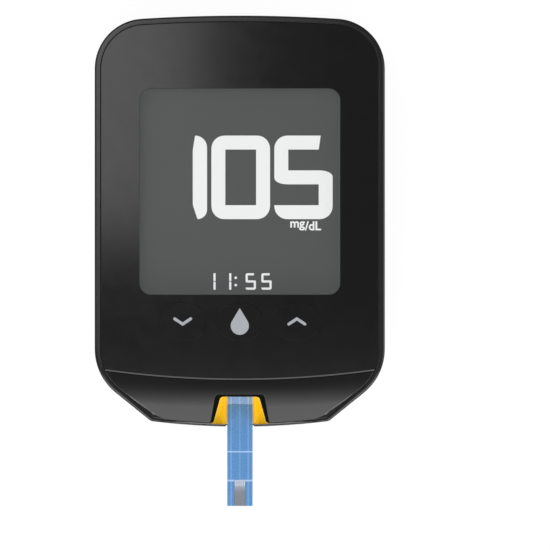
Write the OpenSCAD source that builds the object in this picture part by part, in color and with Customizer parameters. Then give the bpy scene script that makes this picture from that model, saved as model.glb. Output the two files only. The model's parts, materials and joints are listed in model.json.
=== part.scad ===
// Pocket blood glucose meter with a test strip in its port.
// Millimetres, +Z up: the meter lies on its back with the display facing up,
// the strip port towards -Y. The origin is the middle of the rear rest face.

/* [Body] */
// Width of the meter
body_w = 56.2; // [54:0.1:60]
// Length of the meter, from the top edge to the strip end
body_l = 79.66; // [78:0.02:84]
// Thickness of the meter
body_t = 16; // [15.6:0.1:18]
// Radius of the bowed top edge
top_arch_r = 300; // [200:1:400]
// Radius of the two upper corners
top_corner_r = 9.7; // [8:0.1:11]
// Radius where the sides turn into the slanted lower edges
lower_corner_r = 10.9; // [9:0.1:12]
// Height of those lower corners' centres above the bottom edge
lower_corner_rise = 15.08; // [14.6:0.01:15.8]
// Angle of the slanted lower edges from the horizontal
slant_angle = 39.1; // [38:0.1:40.5]
// Radius of the bowed bottom edge
bottom_arch_r = 138; // [110:1:160]
// Radius of the corners at the two ends of the bottom edge
chin_corner_r = 1.5; // [1:0.1:2.5]
// Radius of the rounded rear edge
rear_edge_r = 2.5; // [1.5:0.1:3]
// How much narrower each side is at the rear than at the rim
side_draft = 0.5; // [0.3:0.1:0.8]

/* [Shells] */
// Side wall of the rear housing
wall = 1.6; // [1.4:0.05:1.8]
// Rear wall of the rear housing
rear_wall = 1.6; // [1.4:0.05:2]
// Width of the visible rim around the front cover
rim_w = 1.05; // [0.9:0.05:1.2]
// Groove between the rim and the front cover
seam_gap = 0.2; // [0.1:0.05:0.3]
// How far the rim lies below the front face
rim_drop = 0.4; // [0.2:0.05:0.8]
// Wall of the front cover's skirt
skirt_t = 1.15; // [1:0.05:1.3]
// Thickness of the front cover's deck under the panel
deck_t = 1.4; // [1.2:0.1:1.6]
// Thickness of the front cover's chin
chin_t = 1.6; // [1.4:0.1:1.8]

/* [Chin] */
// Height of the crease above the bottom edge, on the middle line
chin_l = 8.95; // [8.7:0.01:9.4]
// Radius of the bowed crease, seen from the front
crease_r = 190; // [150:1:250]
// Radius of the chin's roll towards the strip end
chin_roll_r = 24; // [20:0.5:30]
// Slope of the chin where it leaves the crease, in degrees
chin_slope = 4; // [2:0.5:6]

/* [Front panel] */
// Thickness of the front panel and of the window in it
panel_t = 1.4; // [1.2:0.1:1.6]
// Width of the display window
window_w = 38.9; // [37:0.1:39.5]
// Distance from the top edge down to the display window
top_margin = 14.11; // [13.4:0.01:15]
// Corner radius of the display window
window_r = 2.27; // [1.5:0.01:3]
// Distance from the key line up to the window's lower edge
window_rise = 5.18; // [5.1:0.01:6]
// Width of the window's hidden seating flange
window_flange_w = 0.95; // [0.8:0.05:1]
// Thickness of that flange
window_flange_t = 0.6; // [0.4:0.05:0.8]

/* [Keys] */
// Distance from the crease up to the key line
key_rise = 11.48; // [11.3:0.01:11.9]
// Distance between neighbouring keys
key_pitch = 11.05; // [10.8:0.05:11.5]
// Width of a key cap
key_w = 9; // [8.4:0.1:9.2]
// Length of a key cap
key_l = 7.2; // [6.6:0.1:7.3]
// Hairline gap around a key cap
key_gap = 0.08; // [0.05:0.01:0.12]
// Travel of a key
key_travel = 0.3; // [0.2:0.01:0.35]
// Gap between the retaining tabs of two neighbouring keys
key_web = 0.85; // [0.7:0.05:0.9]
// Thickness of those tabs
key_tab_t = 0.65; // [0.5:0.05:0.8]
// Radius of a key's plunger
plunger_r = 1.2; // [1:0.05:1.4]
// Radius of the plunger's head under the cap
plunger_head_r = 2.6; // [2:0.1:3]
// Depth of the inlaid key symbols
symbol_t = 0.25; // [0.15:0.05:0.4]
// Width of an arrow symbol
arrow_w = 3.7; // [3:0.1:4.5]
// Length of an arrow symbol
arrow_l = 1.6; // [1.4:0.1:2.2]
// Stroke of an arrow symbol
arrow_stroke = 0.57; // [0.4:0.01:0.8]
// Size of the drop symbol on the middle key
drop_l = 5.2; // [4:0.1:5.6]

/* [Display] */
// Thickness of each display glass
glass_t = 0.7; // [0.5:0.05:0.7]
// Thickness of each polariser
polariser_t = 0.2; // [0.1:0.05:0.25]
// Thickness of the light guide
guide_t = 1; // [0.8:0.05:1.05]
// Thickness of the diffuser and of the reflector film
film_t = 0.2; // [0.1:0.05:0.2]
// Thickness of the foam gasket between the display and the deck
gasket_t = 0.3; // [0.2:0.05:0.4]
// Border of the display glass around the window
glass_margin = 1; // [0.9:0.05:1.1]
// Length of the contact ledge at the display glass's upper end
ledge_l = 2.7; // [2.2:0.1:3]
// Wall of the display holder
holder_wall = 1.4; // [1.2:0.1:1.5]
// Distance from the window's lower edge up to the large digits
digit_rise = 14.65; // [12:0.05:16]
// Distance from the middle line left to the large digits
digit_left = 9.13; // [7:0.01:10]
// Width of the large one
one_w = 2.77; // [2:0.01:3]
// Width of the large zero
zero_w = 11.37; // [9:0.01:12]
// Width of the large five
five_w = 11.31; // [9:0.01:12]
// Gap between the large digits
digit_gap = 0.84; // [0.5:0.01:1.2]
// Height of the large digits
digit_h = 16.2; // [14:0.1:18]
// Stroke of the large digits
digit_stroke = 2.7; // [2:0.1:3]
// Outer corner radius of the large digits
digit_r = 2.5; // [1.5:0.1:2.6]
// Distance from the window's lower edge up to the clock
clock_rise = 0.96; // [0.6:0.01:2]
// Distance from the middle line left to the clock
clock_left = 6.7; // [5:0.05:8]
// Width of a clock digit
clock_w = 2; // [1.5:0.05:2.4]
// Distance between clock digits
clock_pitch = 3.05; // [2.6:0.05:3.4]
// Extra space for the clock's colon
colon_space = 1.72; // [1.2:0.01:2.2]
// Height of the clock's digits
clock_h = 3.2; // [2.4:0.1:4]
// Stroke of the clock's digits
clock_stroke = 0.42; // [0.3:0.01:0.6]

/* [Circuit board] */
// Thickness of the circuit board
board_t = 1; // [0.8:0.1:1.2]
// Gap between the circuit board and the side wall
board_gap = 0.5; // [0.3:0.05:0.8]
// Gap between the battery bay's roof and the board
bay_gap = 0.9; // [0.6:0.1:1.2]
// Height of the metal key domes
dome_h = 0.5; // [0.45:0.01:0.6]
// Radius of the metal key domes
dome_r = 2.6; // [2.2:0.1:2.7]

// Side of the processor
processor_w = 7; // [5:0.5:7]
// Distance from the processor's centre to the memory chip's edge
memory_gap = 8; // [7:0.5:9]
// Width of the memory chip
memory_w = 5; // [4:0.5:6]
// Length of the memory chip
memory_l = 6; // [4:0.5:6.5]
// Height of the chips
chip_h = 0.9; // [0.6:0.1:1.1]
// Width of the crystal's can
crystal_w = 3.2; // [2.5:0.1:5]
// Radius of the buzzer
buzzer_r = 4.5; // [4:0.1:4.6]
// Height of the buzzer
buzzer_h = 2.6; // [1.8:0.1:3]
// Distance from the left side to the buzzer's centre
buzzer_side = 14.1; // [13.6:0.1:15]
// Distance between the small parts in a row
passive_pitch = 3.2; // [2:0.1:3.6]

/* [Batteries] */
// Diameter of a coin cell
cell_d = 20; // [18:0.1:20.2]
// Thickness of a coin cell
cell_t = 3.2; // [1.6, 2.5, 3.2]
// Wall between the two cells' wells
cell_web = 0.7; // [0.6:0.05:1]
// Distance from the top edge down to the cells' centres
cell_drop = 21.83; // [21.5:0.01:22.4]
// Clearance around a cell in its well
well_gap = 0.25; // [0.15:0.05:0.3]
// Wall of a cell's well
well_wall = 1.2; // [1:0.1:1.4]
// Roof of the battery bay
roof_t = 0.8; // [0.6:0.1:1]

/* [Battery door] */
// How far the door reaches past the wells on each side
door_margin = 0.45; // [0.3:0.05:0.8]
// Distance from the cells' centres down to the door's inner edge
door_reach = 12.5; // [12:0.1:13]
// Lip of the rear wall beside the door
door_lip = 0.8; // [0.7:0.05:0.9]
// Width of the door's side tongues
tongue_w = 0.9; // [0.7:0.05:1]
// Thickness of the door
door_t = 1.65; // [1.55:0.05:1.7]
// Running gap around the door
door_gap = 0.1; // [0.08:0.01:0.15]
// How far the door's outer face lies above the rest face
door_inset = 0.05; // [0.03:0.01:0.1]
// Number of grip grooves in the door
groove_count = 4; // [3:1:5]

/* [Strip port] */
// Depth of the port's notch from the bottom edge
notch_depth = 5.93; // [5.6:0.01:6.2]
// Half width of the notch at its inner end, at the front face
notch_top_w = 4.62; // [4.4:0.01:4.8]
// Half width of the notch at the bottom edge, at the front face
notch_end_w = 5.98; // [5.6:0.01:6.2]
// Width of the bevel around the notch
notch_bevel = 0.65; // [0.5:0.01:0.8]
// Radius of the notch's inner corners
notch_r = 0.8; // [0.4:0.05:1]
// Half width of the port floor at its inner end
floor_top_w = 3.06; // [2.8:0.01:3.2]
// Half width of the port floor at the bottom edge
floor_end_w = 3.64; // [3.4:0.01:3.9]
// Thickness of the port liner's floor
liner_floor_t = 1.2; // [0.9:0.1:1.4]
// How far the port liner's top lies above the chin's lowest underside
liner_tuck = 0.1; // [0:0.01:0.2]

/* [Test strip] */
// Width of the test strip
strip_w = 4.96; // [4.6:0.02:5.1]
// Length of the strip outside the port
strip_out_l = 21.4; // [18:0.1:26]
// Gap between the strip connector and the key dome above it
connector_gap = 0.8; // [0.4:0.05:1.2]
// Thickness of the strip's base
strip_base_t = 0.35; // [0.25:0.01:0.4]
// Thickness of the strip's printed cover
strip_cover_t = 0.15; // [0.1:0.01:0.2]
// Clearance around the strip in its slot
strip_gap = 0.1; // [0.06:0.01:0.15]
// Length of the blood sample window
sample_l = 5.1; // [4:0.1:6]
// Width of the blood sample window
sample_w = 2.2; // [1.8:0.1:2.6]

/* [Rear face] */
// Width of the label plate
label_w = 34; // [20:1:36]
// Length of the label plate
label_l = 12; // [8:0.5:13]
// Distance from the lower screws up to the label's middle
label_rise = 12; // [11:0.5:13]

/* [Screws] */
// Radius of a screw's shank
screw_r = 1; // [0.8:0.05:1.05]
// Radius of a screw's head
screw_head_r = 1.8; // [1.6:0.05:1.9]
// Height of a screw's head
screw_head_h = 1.2; // [1:0.05:1.25]
// Length of a screw's shank
screw_l = 9; // [8:0.1:9.1]
// Wall of a screw boss
boss_wall = 1; // [0.8:0.05:1.1]

/* [Data port] */
// Width of the data socket's shell
usb_w = 7.5; // [7:0.1:9]
// Height of the data socket's shell
usb_h = 2.5; // [2.2:0.1:2.8]
// Depth of the data socket's shell
usb_l = 5; // [4.6:0.1:5.6]
// Gap between the data socket and the opening around it
usb_gap = 0.45; // [0.3:0.05:0.5]
// Sheet thickness of the socket's shell
usb_sheet = 0.3; // [0.2:0.05:0.35]

/* [Hidden] */

// Round parts are true cylinders; outlines use their own arc steps.
$fn = 48;
// Overshoot that lets a cut pass cleanly through a face.
over = 1;
// Small gap between pieces that are stacked but not joined.
rest_gap = 0.05;
// Gap around a piece that drops into its seat.
seat_gap = 0.1;
// Gap that stays open between moving and fixed pieces.
play = 0.15;

black = "#1d1d1f";
panel_black = "#141416";
silver = "#b4b8bc";
steel = "#9fa3a8";
brass_gold = "#c9a24a";
board_green = "#1f5a3a";
chip_black = "#202022";
port_yellow = "#ffc314";
strip_blue = "#5f91c8";
display_grey = "#535656";

// Outline of the body
top_y = body_l / 2;
bottom_y = -body_l / 2;
top_arch_cy = top_y - top_arch_r;
top_corner_x = body_w / 2 - top_corner_r;
top_corner_y = top_arch_cy + sqrt(pow(top_arch_r - top_corner_r, 2) - pow(top_corner_x, 2));
lower_corner_x = body_w / 2 - lower_corner_r;
lower_corner_y = bottom_y + lower_corner_rise;
bottom_arch_cy = bottom_y + bottom_arch_r;
// Outward normal of the right slanted edge, and that edge's distance from the origin
slant_n = [sin(slant_angle), -cos(slant_angle)];
slant_t = [cos(slant_angle), sin(slant_angle)];
slant_c = slant_n * [lower_corner_x, lower_corner_y] + lower_corner_r;

// Heights
rim_z = body_t - rim_drop;
panel_z = body_t - panel_t;
deck_z = panel_z - deck_t;
door_top = door_inset + door_t;
pocket_z = door_top + door_gap;
cell_z = pocket_z + door_gap;
cell_top = cell_z + cell_t;
spring_space = 0.2;
roof_z = cell_top + spring_space;
bay_top = roof_z + roof_t;
board_z = bay_top + bay_gap;
board_top = board_z + board_t;
// The front cover's skirt ends above the data socket's opening
skirt_z = board_top + usb_h + usb_gap + rest_gap;

// Front face landmarks
cover_inset = rim_w + seam_gap;
crease_y = bottom_y + chin_l;
crease_cy = crease_y + crease_r;
key_y = crease_y + key_rise;
key_xs = [-key_pitch, 0, key_pitch];
window_bottom = key_y + window_rise;
window_top = top_y - top_margin;
window_l = window_top - window_bottom;
window_cy = window_bottom + window_l / 2;
deck_window_gap = 0.4;
window_gap = 0.02;

// Display stack, from the deck down
lcd_top = deck_z - gasket_t;
front_glass_z = lcd_top - polariser_t - glass_t;
rear_glass_z = front_glass_z - glass_t;
rear_polariser_z = rear_glass_z - polariser_t;
diffuser_z = rear_polariser_z - film_t;
guide_z = diffuser_z - guide_t;
reflector_z = guide_z - film_t;
polariser_inset = 0.5;
film_inset = 0.2;
glass_side = 0.45;
glass_w = window_w + 2 * (glass_margin + glass_side);
glass_bottom = window_bottom - glass_margin;
glass_top = window_top + glass_margin + film_inset;
guide_inset = 0.7;
guide_w = glass_w - 2 * guide_inset;
holder_end = 0.7;
holder_bottom = glass_bottom - holder_wall;
holder_top = glass_top + ledge_l + seat_gap + holder_end;
holder_rail = 2;
segment_t = 0.06;
led_t = 0.6;
led_w = 2.4;
led_ys = [for (i = [-1:1]) window_cy + window_l * 0.3 * i];
elastomer_w = window_w - 2.9;
elastomer_l = 1.6;
elastomer_y = glass_top + ledge_l / 2 + seat_gap;

// Keys
tab_z = panel_z - rest_gap - key_tab_t;
tab_gap = 0.2;
key_tab_w = (key_pitch - key_w - key_web) / 2;
plunger_head_t = 0.5;
plunger_bottom = board_top + dome_h + 0.02;
dome_room = 0.5;
key_guide_t = 1.6;
key_guide_l = 5.2;
key_guide_drop = 0.4;
key_guide_z = tab_z - plunger_head_t - key_travel - play - key_guide_t - dome_room;
key_guide_post_r = 0.8;
key_guide_end = 5;

// Strip port and strip
connector_wall = 0.6;
notch_y = bottom_y + notch_depth;
notch_mouth_y = bottom_y + cover_inset + pow(notch_end_w, 2) / (2 * bottom_arch_r);
notch_flare = 0.8;
floor_z = board_top + liner_floor_t;
// The chin's surface at the bottom edge, and the liner just under its wall there
chin_end_z = body_t - chin_roll_r * cos(chin_slope)
    + sqrt(pow(chin_roll_r, 2) - pow(chin_l + chin_roll_r * sin(chin_slope), 2));
liner_top = chin_end_z - chin_t + liner_tuck;
liner_r = 0.3;
liner_wing = 1.1;
liner_back_gap = 0.55;
strip_z = floor_z + rest_gap;
strip_t = strip_base_t + strip_cover_t;
strip_end_y = key_y - dome_r - connector_gap - connector_wall;
strip_tip_y = notch_y - strip_out_l;
cover_start = notch_y - 1.75;
slot_top = strip_z + strip_t + strip_gap;
contact_space = 0.5;
contact_count = 6;
contact_w = 0.45;
contact_pitch = 0.78;
connector_side = 2.72;
connector_w = strip_w + 2 * connector_side;
liner_back_y = notch_y + 2.3;
port_mouth_w = notch_end_w + 0.25;
track_pitch = 1.55;
track_w = 0.7;
track_t = 0.04;

// Batteries and door
cell_y = top_y - cell_drop;
well_r = cell_d / 2 + well_gap;
cell_pitch = 2 * well_r + cell_web;
cell_xs = [-cell_pitch / 2, cell_pitch / 2];
door_w = cell_pitch + 2 * (well_r + door_margin);
door_y = cell_y - door_reach;
bay_rail = 1.1;
bay_w = door_w / 2 + tongue_w + door_gap + bay_rail;
bay_y = door_y - door_gap - bay_rail;
bay_floor_t = 1;
clip_w = 4;
clip_t = 0.2;
spring_w = 3;
spring_off = 6;
slot_gap = 0.2;
can_rim = 0.25;
cap_r = cell_d / 2 - 1.1;
cap_h = 0.35;
seal_w = 0.5;
groove_l = 12;
groove_w = 0.6;
groove_pitch = 1.6;
groove_depth = 0.35;
groove_from_top = 8.6;

// Screws: each has x, y and the height of its head's outer face
screw_gap = 0.15;
pilot_gap = 0.05;
post_r = screw_head_r + screw_gap + 0.7;
top_screw_x = body_w / 2 - 11.1;
top_screw_y = holder_top + 0.35 + post_r;
low_screw_x = body_w / 2 - 8.6;
low_screw_y = crease_y + 3.38;
low_head_z = 0.3;
top_head_z = pocket_z + 0.1;
screws = [
    for (s = [-1, 1]) [s * top_screw_x, top_screw_y, top_head_z],
    for (s = [-1, 1]) [s * low_screw_x, low_screw_y, low_head_z],
];

// Pads along the side walls that carry the board
pad_w = 1.6;
pad_l = 6;
pad_from_top = 13;
pad_from_bottom = 14;
pad_ys = [top_corner_y - pad_from_top, lower_corner_y + pad_from_bottom];

// Rear face and what hangs under the board
label_r = 1;
label_t = 0.15;
label_depth = 0.25;
label_y = low_screw_y + label_rise;
buzzer_x = buzzer_side - body_w / 2;
buzzer_y = (door_y + label_y + label_l / 2) / 2;
sound_r = 0.5;
sound_pitch = 2;
processor_x = 3;
processor_y = buzzer_y;
crystal_y = processor_y - processor_w / 2 - 2;
crystal_l = 1.5;
crystal_h = 0.8;
passive_w = 1;
passive_l = 0.5;
passive_h = 0.45;
passive_x = processor_x - 4.4;
passive_y = crystal_y - 3;

// Data socket
usb_z = board_top;
usb_sunk = 0.9;
usb_front = top_y - usb_sunk;
usb_tongue_t = 0.6;
usb_pin_pitch = 0.65;
usb_pin_w = 0.36;
usb_pin_t = 0.1;

// Points of a circular arc about c; r may be a pair for an oval arc
function arc(c, r, a0, a1, n) =
    [for (i = [0:n]) let (a = a0 + (a1 - a0) * i / n)
        [c[0] + (is_list(r) ? r[0] : r) * cos(a), c[1] + (is_list(r) ? r[1] : r) * sin(a)]];

// A list without its last point
function but_last(p) = [for (i = [0:1:len(p) - 2]) p[i]];

// A list in the opposite order
function reversed(p) = [for (i = [len(p) - 1:-1:0]) p[i]];

// Centre of the small corner between slanted edge and bottom arch, for an inset of d
function chin_corner_rr(d) = max(chin_corner_r - d, 0.2);
function chin_corner_c(d) =
    let (
        r = chin_corner_rr(d),
        q = slant_c - d - r - slant_n * [0, bottom_arch_cy],
        s = sqrt(pow(bottom_arch_r - d - r, 2) - q * q)
    )
    [0, bottom_arch_cy] + q * slant_n - s * slant_t;

// Right half of the outline, moved inwards by d, from the top middle to the bottom middle
function right_outline(d) =
    let (
        top_a = atan2(top_corner_y - top_arch_cy, top_corner_x),
        slant_a = slant_angle - 90,
        c = chin_corner_c(d),
        bottom_a = atan2(c[1] - bottom_arch_cy, c[0])
    )
    concat(
        but_last(arc([0, top_arch_cy], top_arch_r - d, 90, top_a, 4)),
        arc([top_corner_x, top_corner_y], top_corner_r - d, top_a, 0, 10),
        arc([lower_corner_x, lower_corner_y], lower_corner_r - d, 0, slant_a, 7),
        but_last(arc(c, chin_corner_rr(d), slant_a, bottom_a, 3)),
        arc([0, bottom_arch_cy], bottom_arch_r - d, bottom_a, -90, 4)
    );

// The whole outline, moved inwards by d
function outline(d) =
    let (r = right_outline(d), n = len(r))
    concat(r, [for (i = [n - 2:-1:1]) [-r[i][0], r[i][1]]]);

// Outline of a rounded rectangle about the origin, n steps in each corner
function rounded(w, l, r, n = 6) =
    concat(
        arc([w / 2 - r, l / 2 - r], r, 90, 0, n),
        arc([w / 2 - r, r - l / 2], r, 0, -90, n),
        arc([r - w / 2, r - l / 2], r, -90, -180, n),
        arc([r - w / 2, l / 2 - r], r, 180, 90, n)
    );

module plate(points, z0, z1) {
    translate([0, 0, z0]) linear_extrude(height = z1 - z0) polygon(points);
}

module rounded_plate(w, l, r, z0, z1, y = 0, x = 0, n = 6) {
    translate([x, y, 0]) plate(rounded(w, l, r, n), z0, z1);
}

// A box given by its lower and upper corners
module block(a, b) {
    translate(a) cube(b - a);
}

// A pill shape: a rectangle with full round ends
module pill(w, l, z0, z1, x, y) {
    rounded_plate(w, l, l / 2 - 0.01, z0, z1, y = y, x = x, n = 12);
}

// A closed skin over rings of equal point counts, from the lowest ring up
module skin(rings) {
    n = len(rings[0]);
    points = [for (r = rings) each r];
    sides = [
        for (k = [0:len(rings) - 2], i = [0:n - 1])
            let (j = (i + 1) % n)
            each [[k * n + i, (k + 1) * n + j, (k + 1) * n + i],
                  [k * n + i, k * n + j, (k + 1) * n + j]]
    ];
    bottom = [[for (i = [n - 1:-1:0]) i]];
    top = [[for (i = [0:n - 1]) (len(rings) - 1) * n + i]];
    polyhedron(points = points, faces = concat(bottom, sides, top), convexity = 6);
}

function ring(d, z) = [for (p = outline(d)) [p[0], p[1], z]];

// The meter's outer shape: rounded rear edge, drafted sides, softened rim
module envelope() {
    steps = 4;
    rim_soft = 0.45;
    rear = [
        for (i = [0:steps])
            let (a = 90 * i / steps)
            ring(side_draft + rear_edge_r * (1 - sin(a)), rear_edge_r * (1 - cos(a)))
    ];
    rim = [
        for (i = [0:2])
            let (a = 45 * i)
            ring(rim_soft * (1 - cos(a)), rim_z - rim_soft * (1 - sin(a)))
    ];
    skin(concat(rear, rim));
}

// Everything above the chin's rolled surface, beyond the crease, lowered by drop
module above_chin(drop = 0) {
    reach = chin_l + 4;
    high = 2 * body_t;
    roll_s = -chin_roll_r * sin(chin_slope);
    roll_z = body_t - chin_roll_r * cos(chin_slope);
    steps = 8;
    surface = [
        for (i = [0:steps])
            let (s = reach * i / steps)
            [crease_r + s, roll_z + sqrt(pow(chin_roll_r, 2) - pow(s - roll_s, 2))]
    ];
    span = 12;
    translate([0, crease_cy, -drop])
        rotate([0, 0, -90 - span])
            rotate_extrude(angle = 2 * span, $fn = 256)
                polygon(concat([[crease_r, high]], surface, [[crease_r + reach, high]]));
}

// The part of the front on the display's side of the crease
module before_crease(z0, z1) {
    translate([0, crease_cy, z0]) cylinder(r = crease_r, h = z1 - z0, $fn = 256);
}

// Half of a notch outline, from the inner end to the mouth, where the corner may flare out
function notch_half(top_w, end_w, r, flare) =
    let (
        lean = atan((end_w - top_w) / notch_depth),
        x = top_w - r * tan(45 - lean / 2),
        flare_y = notch_mouth_y + flare,
        flare_x = top_w + (flare - (flare_y - notch_y) * sin(lean)) / cos(lean),
        mouth_y = notch_y - notch_depth - over,
        mouth_x = top_w + (notch_y - mouth_y) * tan(lean)
    )
    concat(
        arc([x, notch_y - r], r, 90, lean, 5),
        flare > 0
            ? concat(arc([flare_x, flare_y], flare, 180 + lean, 270, 5), [[flare_x, mouth_y]])
            : [[mouth_x, mouth_y]]
    );

// A whole notch outline
function notch(top_w, end_w, r, flare) =
    let (h = notch_half(top_w, end_w, r, flare))
    concat(h, [for (p = reversed(h)) [-p[0], p[1]]]);

// A tapered notch between two outlines of equal point counts
module notch_funnel(low, z0, high, z1) {
    skin([[for (p = low) [p[0], p[1], z0]], [for (p = high) [p[0], p[1], z1]]]);
}

// The notch in the chin: its walls lean out by the bevel between the liner and the front face
module cover_notch() {
    low_z = liner_top - 0.02;
    high_z = body_t + over;
    lean = notch_bevel / (body_t - 1 - liner_top) * (high_z - low_z);
    narrow = [notch_top_w - notch_bevel, notch_end_w - notch_bevel];
    notch_funnel(notch(narrow[0], narrow[1], notch_r, notch_flare), low_z,
                 notch(narrow[0] + lean, narrow[1] + lean, notch_r, notch_flare), high_z);
}

module rear_housing() {
    color(black) difference() {
        union() {
            difference() {
                envelope();
                above_chin(rim_drop);
                plate(outline(wall), rear_wall, body_t + over);
                plate(outline(rim_w), skirt_z, body_t + over);
                door_opening();
            }
            battery_bay();
            board_pads();
            screw_bosses();
        }
        for (s = screws) screw_clearance(s);
        for (x = cell_xs) translate([x, cell_y, pocket_z - over])
            cylinder(r = well_r, h = roof_z - pocket_z + over);
        contact_slots();
        // Mouth of the strip port
        block([-port_mouth_w, bottom_y - over, board_top - seat_gap],
              [port_mouth_w, bottom_y + 2 * wall, body_t + over]);
        plug_opening();
        // Sound holes under the buzzer
        for (i = [-1:1]) translate([buzzer_x + sound_pitch * i, buzzer_y, -over])
            cylinder(r = sound_r, h = rear_wall + 2 * over);
        // Recess for the label
        rounded_plate(label_w + 2 * play, label_l + 2 * play, label_r + play,
                      -over, label_depth, y = label_y);
    }
}

module door_opening() {
    w = door_w / 2 + door_gap;
    block([-w, door_y - door_gap, -over], [w, top_y + over, door_lip]);
    block([-w - tongue_w, door_y - door_gap, door_lip - 0.01],
          [w + tongue_w, top_y + over, pocket_z]);
}

// Bay over the door: ceiling, side rails, inner end and the cells' wells
module battery_bay() {
    intersection() {
        union() {
            block([-bay_w, bay_y, pocket_z], [bay_w, top_y, pocket_z + bay_floor_t]);
            for (s = [-1, 1]) flip_x(s)
                block([bay_w - bay_rail, bay_y, rear_wall - 0.1], [bay_w, top_y, pocket_z + bay_floor_t]);
            block([-bay_w, bay_y, rear_wall - 0.1], [bay_w, bay_y + bay_rail, pocket_z + bay_floor_t]);
            for (x = cell_xs) translate([x, cell_y, pocket_z])
                cylinder(r = well_r + well_wall, h = bay_top - pocket_z);
        }
        plate(outline(wall - 0.2), 0, body_t);
    }
}

// Mirrors its children across the middle when s is -1
module flip_x(s) {
    mirror([s < 0 ? 1 : 0, 0, 0]) children();
}

module board_pads() {
    x = body_w / 2 - wall;
    for (s = [-1, 1], y = pad_ys) flip_x(s)
        block([x - pad_w, y - pad_l / 2, rear_wall - 0.1], [x + 0.2, y + pad_l / 2, board_z]);
}

module screw_bosses() {
    for (s = screws) {
        foot = max(rear_wall - 0.1, s[2]);
        translate([s[0], s[1], foot]) cylinder(r = post_r, h = board_z - foot);
    }
}

// Head recess and through hole for one screw
module screw_clearance(s) {
    translate([s[0], s[1], -over]) cylinder(r = screw_r + screw_gap, h = board_top + over);
    translate([s[0], s[1], s[2] - low_head_z - over])
        cylinder(r = screw_head_r + screw_gap, h = screw_head_h + low_head_z + over);
}

// Slots in the bay's roof and wells for the battery contacts
module contact_slots() {
    for (x = cell_xs) {
        block([x - clip_w / 2 - slot_gap, cell_y - well_r - 0.35, pocket_z + slot_gap],
              [x + clip_w / 2 + slot_gap, cell_y - well_r + 1, bay_top + over]);
        block([x - spring_w / 2 - slot_gap, cell_y + spring_off - slot_gap, roof_z - 0.1],
              [x + spring_w / 2 + slot_gap, cell_y + spring_off + clip_t + slot_gap, bay_top + over]);
    }
}

// Opening for the data plug in the top edge
module plug_opening() {
    corner_r = 0.9;
    translate([0, top_y + over, usb_z + usb_h / 2])
        rotate([90, 0, 0])
            linear_extrude(height = wall + 3 * over)
                polygon(rounded(usb_w + 2 * usb_gap, usb_h + 2 * usb_gap, corner_r));
}

module front_cover() {
    inner = cover_inset + skirt_t;
    bore_r = screw_r + pilot_gap;
    color(black) difference() {
        union() {
            difference() {
                plate(outline(cover_inset), skirt_z, body_t);
                above_chin();
                before_crease(panel_z, body_t + over);
                difference() {
                    plate(outline(inner), skirt_z - over, deck_z);
                    above_chin(chin_t);
                }
            }
            for (s = screws) translate([s[0], s[1], board_top + rest_gap])
                cylinder(r = bore_r + boss_wall, h = deck_z - board_top);
        }
        rounded_plate(window_w + 2 * deck_window_gap, window_l + 2 * deck_window_gap,
                      window_r + deck_window_gap, deck_z - over, panel_z + over, y = window_cy);
        for (x = key_xs) {
            pill(key_w + 2 * tab_gap, key_l + 2 * tab_gap, deck_z - over, panel_z + over, x, key_y);
            block([x - key_w / 2 - key_tab_w - tab_gap, key_y - key_l / 4 - tab_gap, deck_z - over],
                  [x + key_w / 2 + key_tab_w + tab_gap, key_y + key_l / 4 + tab_gap, panel_z + over]);
        }
        for (s = screws) translate([s[0], s[1], board_top - over])
            cylinder(r = bore_r, h = s[2] + screw_head_h + screw_l + play - board_top + over);
        cover_notch();
        // Room for the liner's mouth under the notch
        block([-port_mouth_w, bottom_y - over, skirt_z - over],
              [port_mouth_w, bottom_y + inner + liner_back_gap + rest_gap, liner_top + rest_gap]);
    }
}

module front_panel() {
    color(panel_black) difference() {
        intersection() {
            plate(outline(cover_inset), panel_z, body_t);
            before_crease(panel_z - over, body_t + over);
        }
        rounded_plate(window_w, window_l, window_r, panel_z - over, body_t + over, y = window_cy);
        rounded_plate(window_w + 2 * window_flange_w, window_l + 2 * window_flange_w,
                      window_r + window_flange_w, panel_z - over, panel_z + window_flange_t,
                      y = window_cy);
        for (x = key_xs)
            pill(key_w + 2 * key_gap, key_l + 2 * key_gap, panel_z - over, body_t + over, x, key_y);
    }
}

module display_window() {
    color(display_grey, 0.4) union() {
        rounded_plate(window_w - 2 * window_gap, window_l - 2 * window_gap,
                      window_r, panel_z, body_t, y = window_cy);
        rounded_plate(window_w + 2 * window_flange_w - 2 * window_gap,
                      window_l + 2 * window_flange_w - 2 * window_gap,
                      window_r + window_flange_w,
                      panel_z, panel_z + window_flange_t - window_gap, y = window_cy);
    }
}

// Outline of an upward arrow about the origin: two bars with round ends
function arrow_outline() =
    let (
        r = arrow_stroke / 2,
        x = arrow_w / 2 - r,
        y = arrow_l / 2 - r,
        a = atan2(2 * y, x),
        k = r / cos(a)
    )
    concat(
        arc([-x, -y], r, a + 90, a + 270, 6),
        [[0, y - k]],
        arc([x, -y], r, -a - 90, 90 - a, 6),
        [[0, y + k]]
    );

// Outline of a drop about the origin, point upwards
function drop_outline() =
    let (
        r = drop_l * 0.34,
        cy = r - drop_l / 2,
        a = acos(r / (drop_l - r))
    )
    concat([[0, drop_l / 2]], arc([0, cy], r, 90 - a, -270 + a, 24));

// Symbol of key k: 0 down arrow, 1 drop, 2 up arrow
module key_symbol(k, z0, z1) {
    translate([key_xs[k], key_y, 0]) {
        if (k == 0) mirror([0, 1, 0]) plate(arrow_outline(), z0, z1);
        if (k == 1) plate(drop_outline(), z0, z1);
        if (k == 2) plate(arrow_outline(), z0, z1);
    }
}

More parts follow.
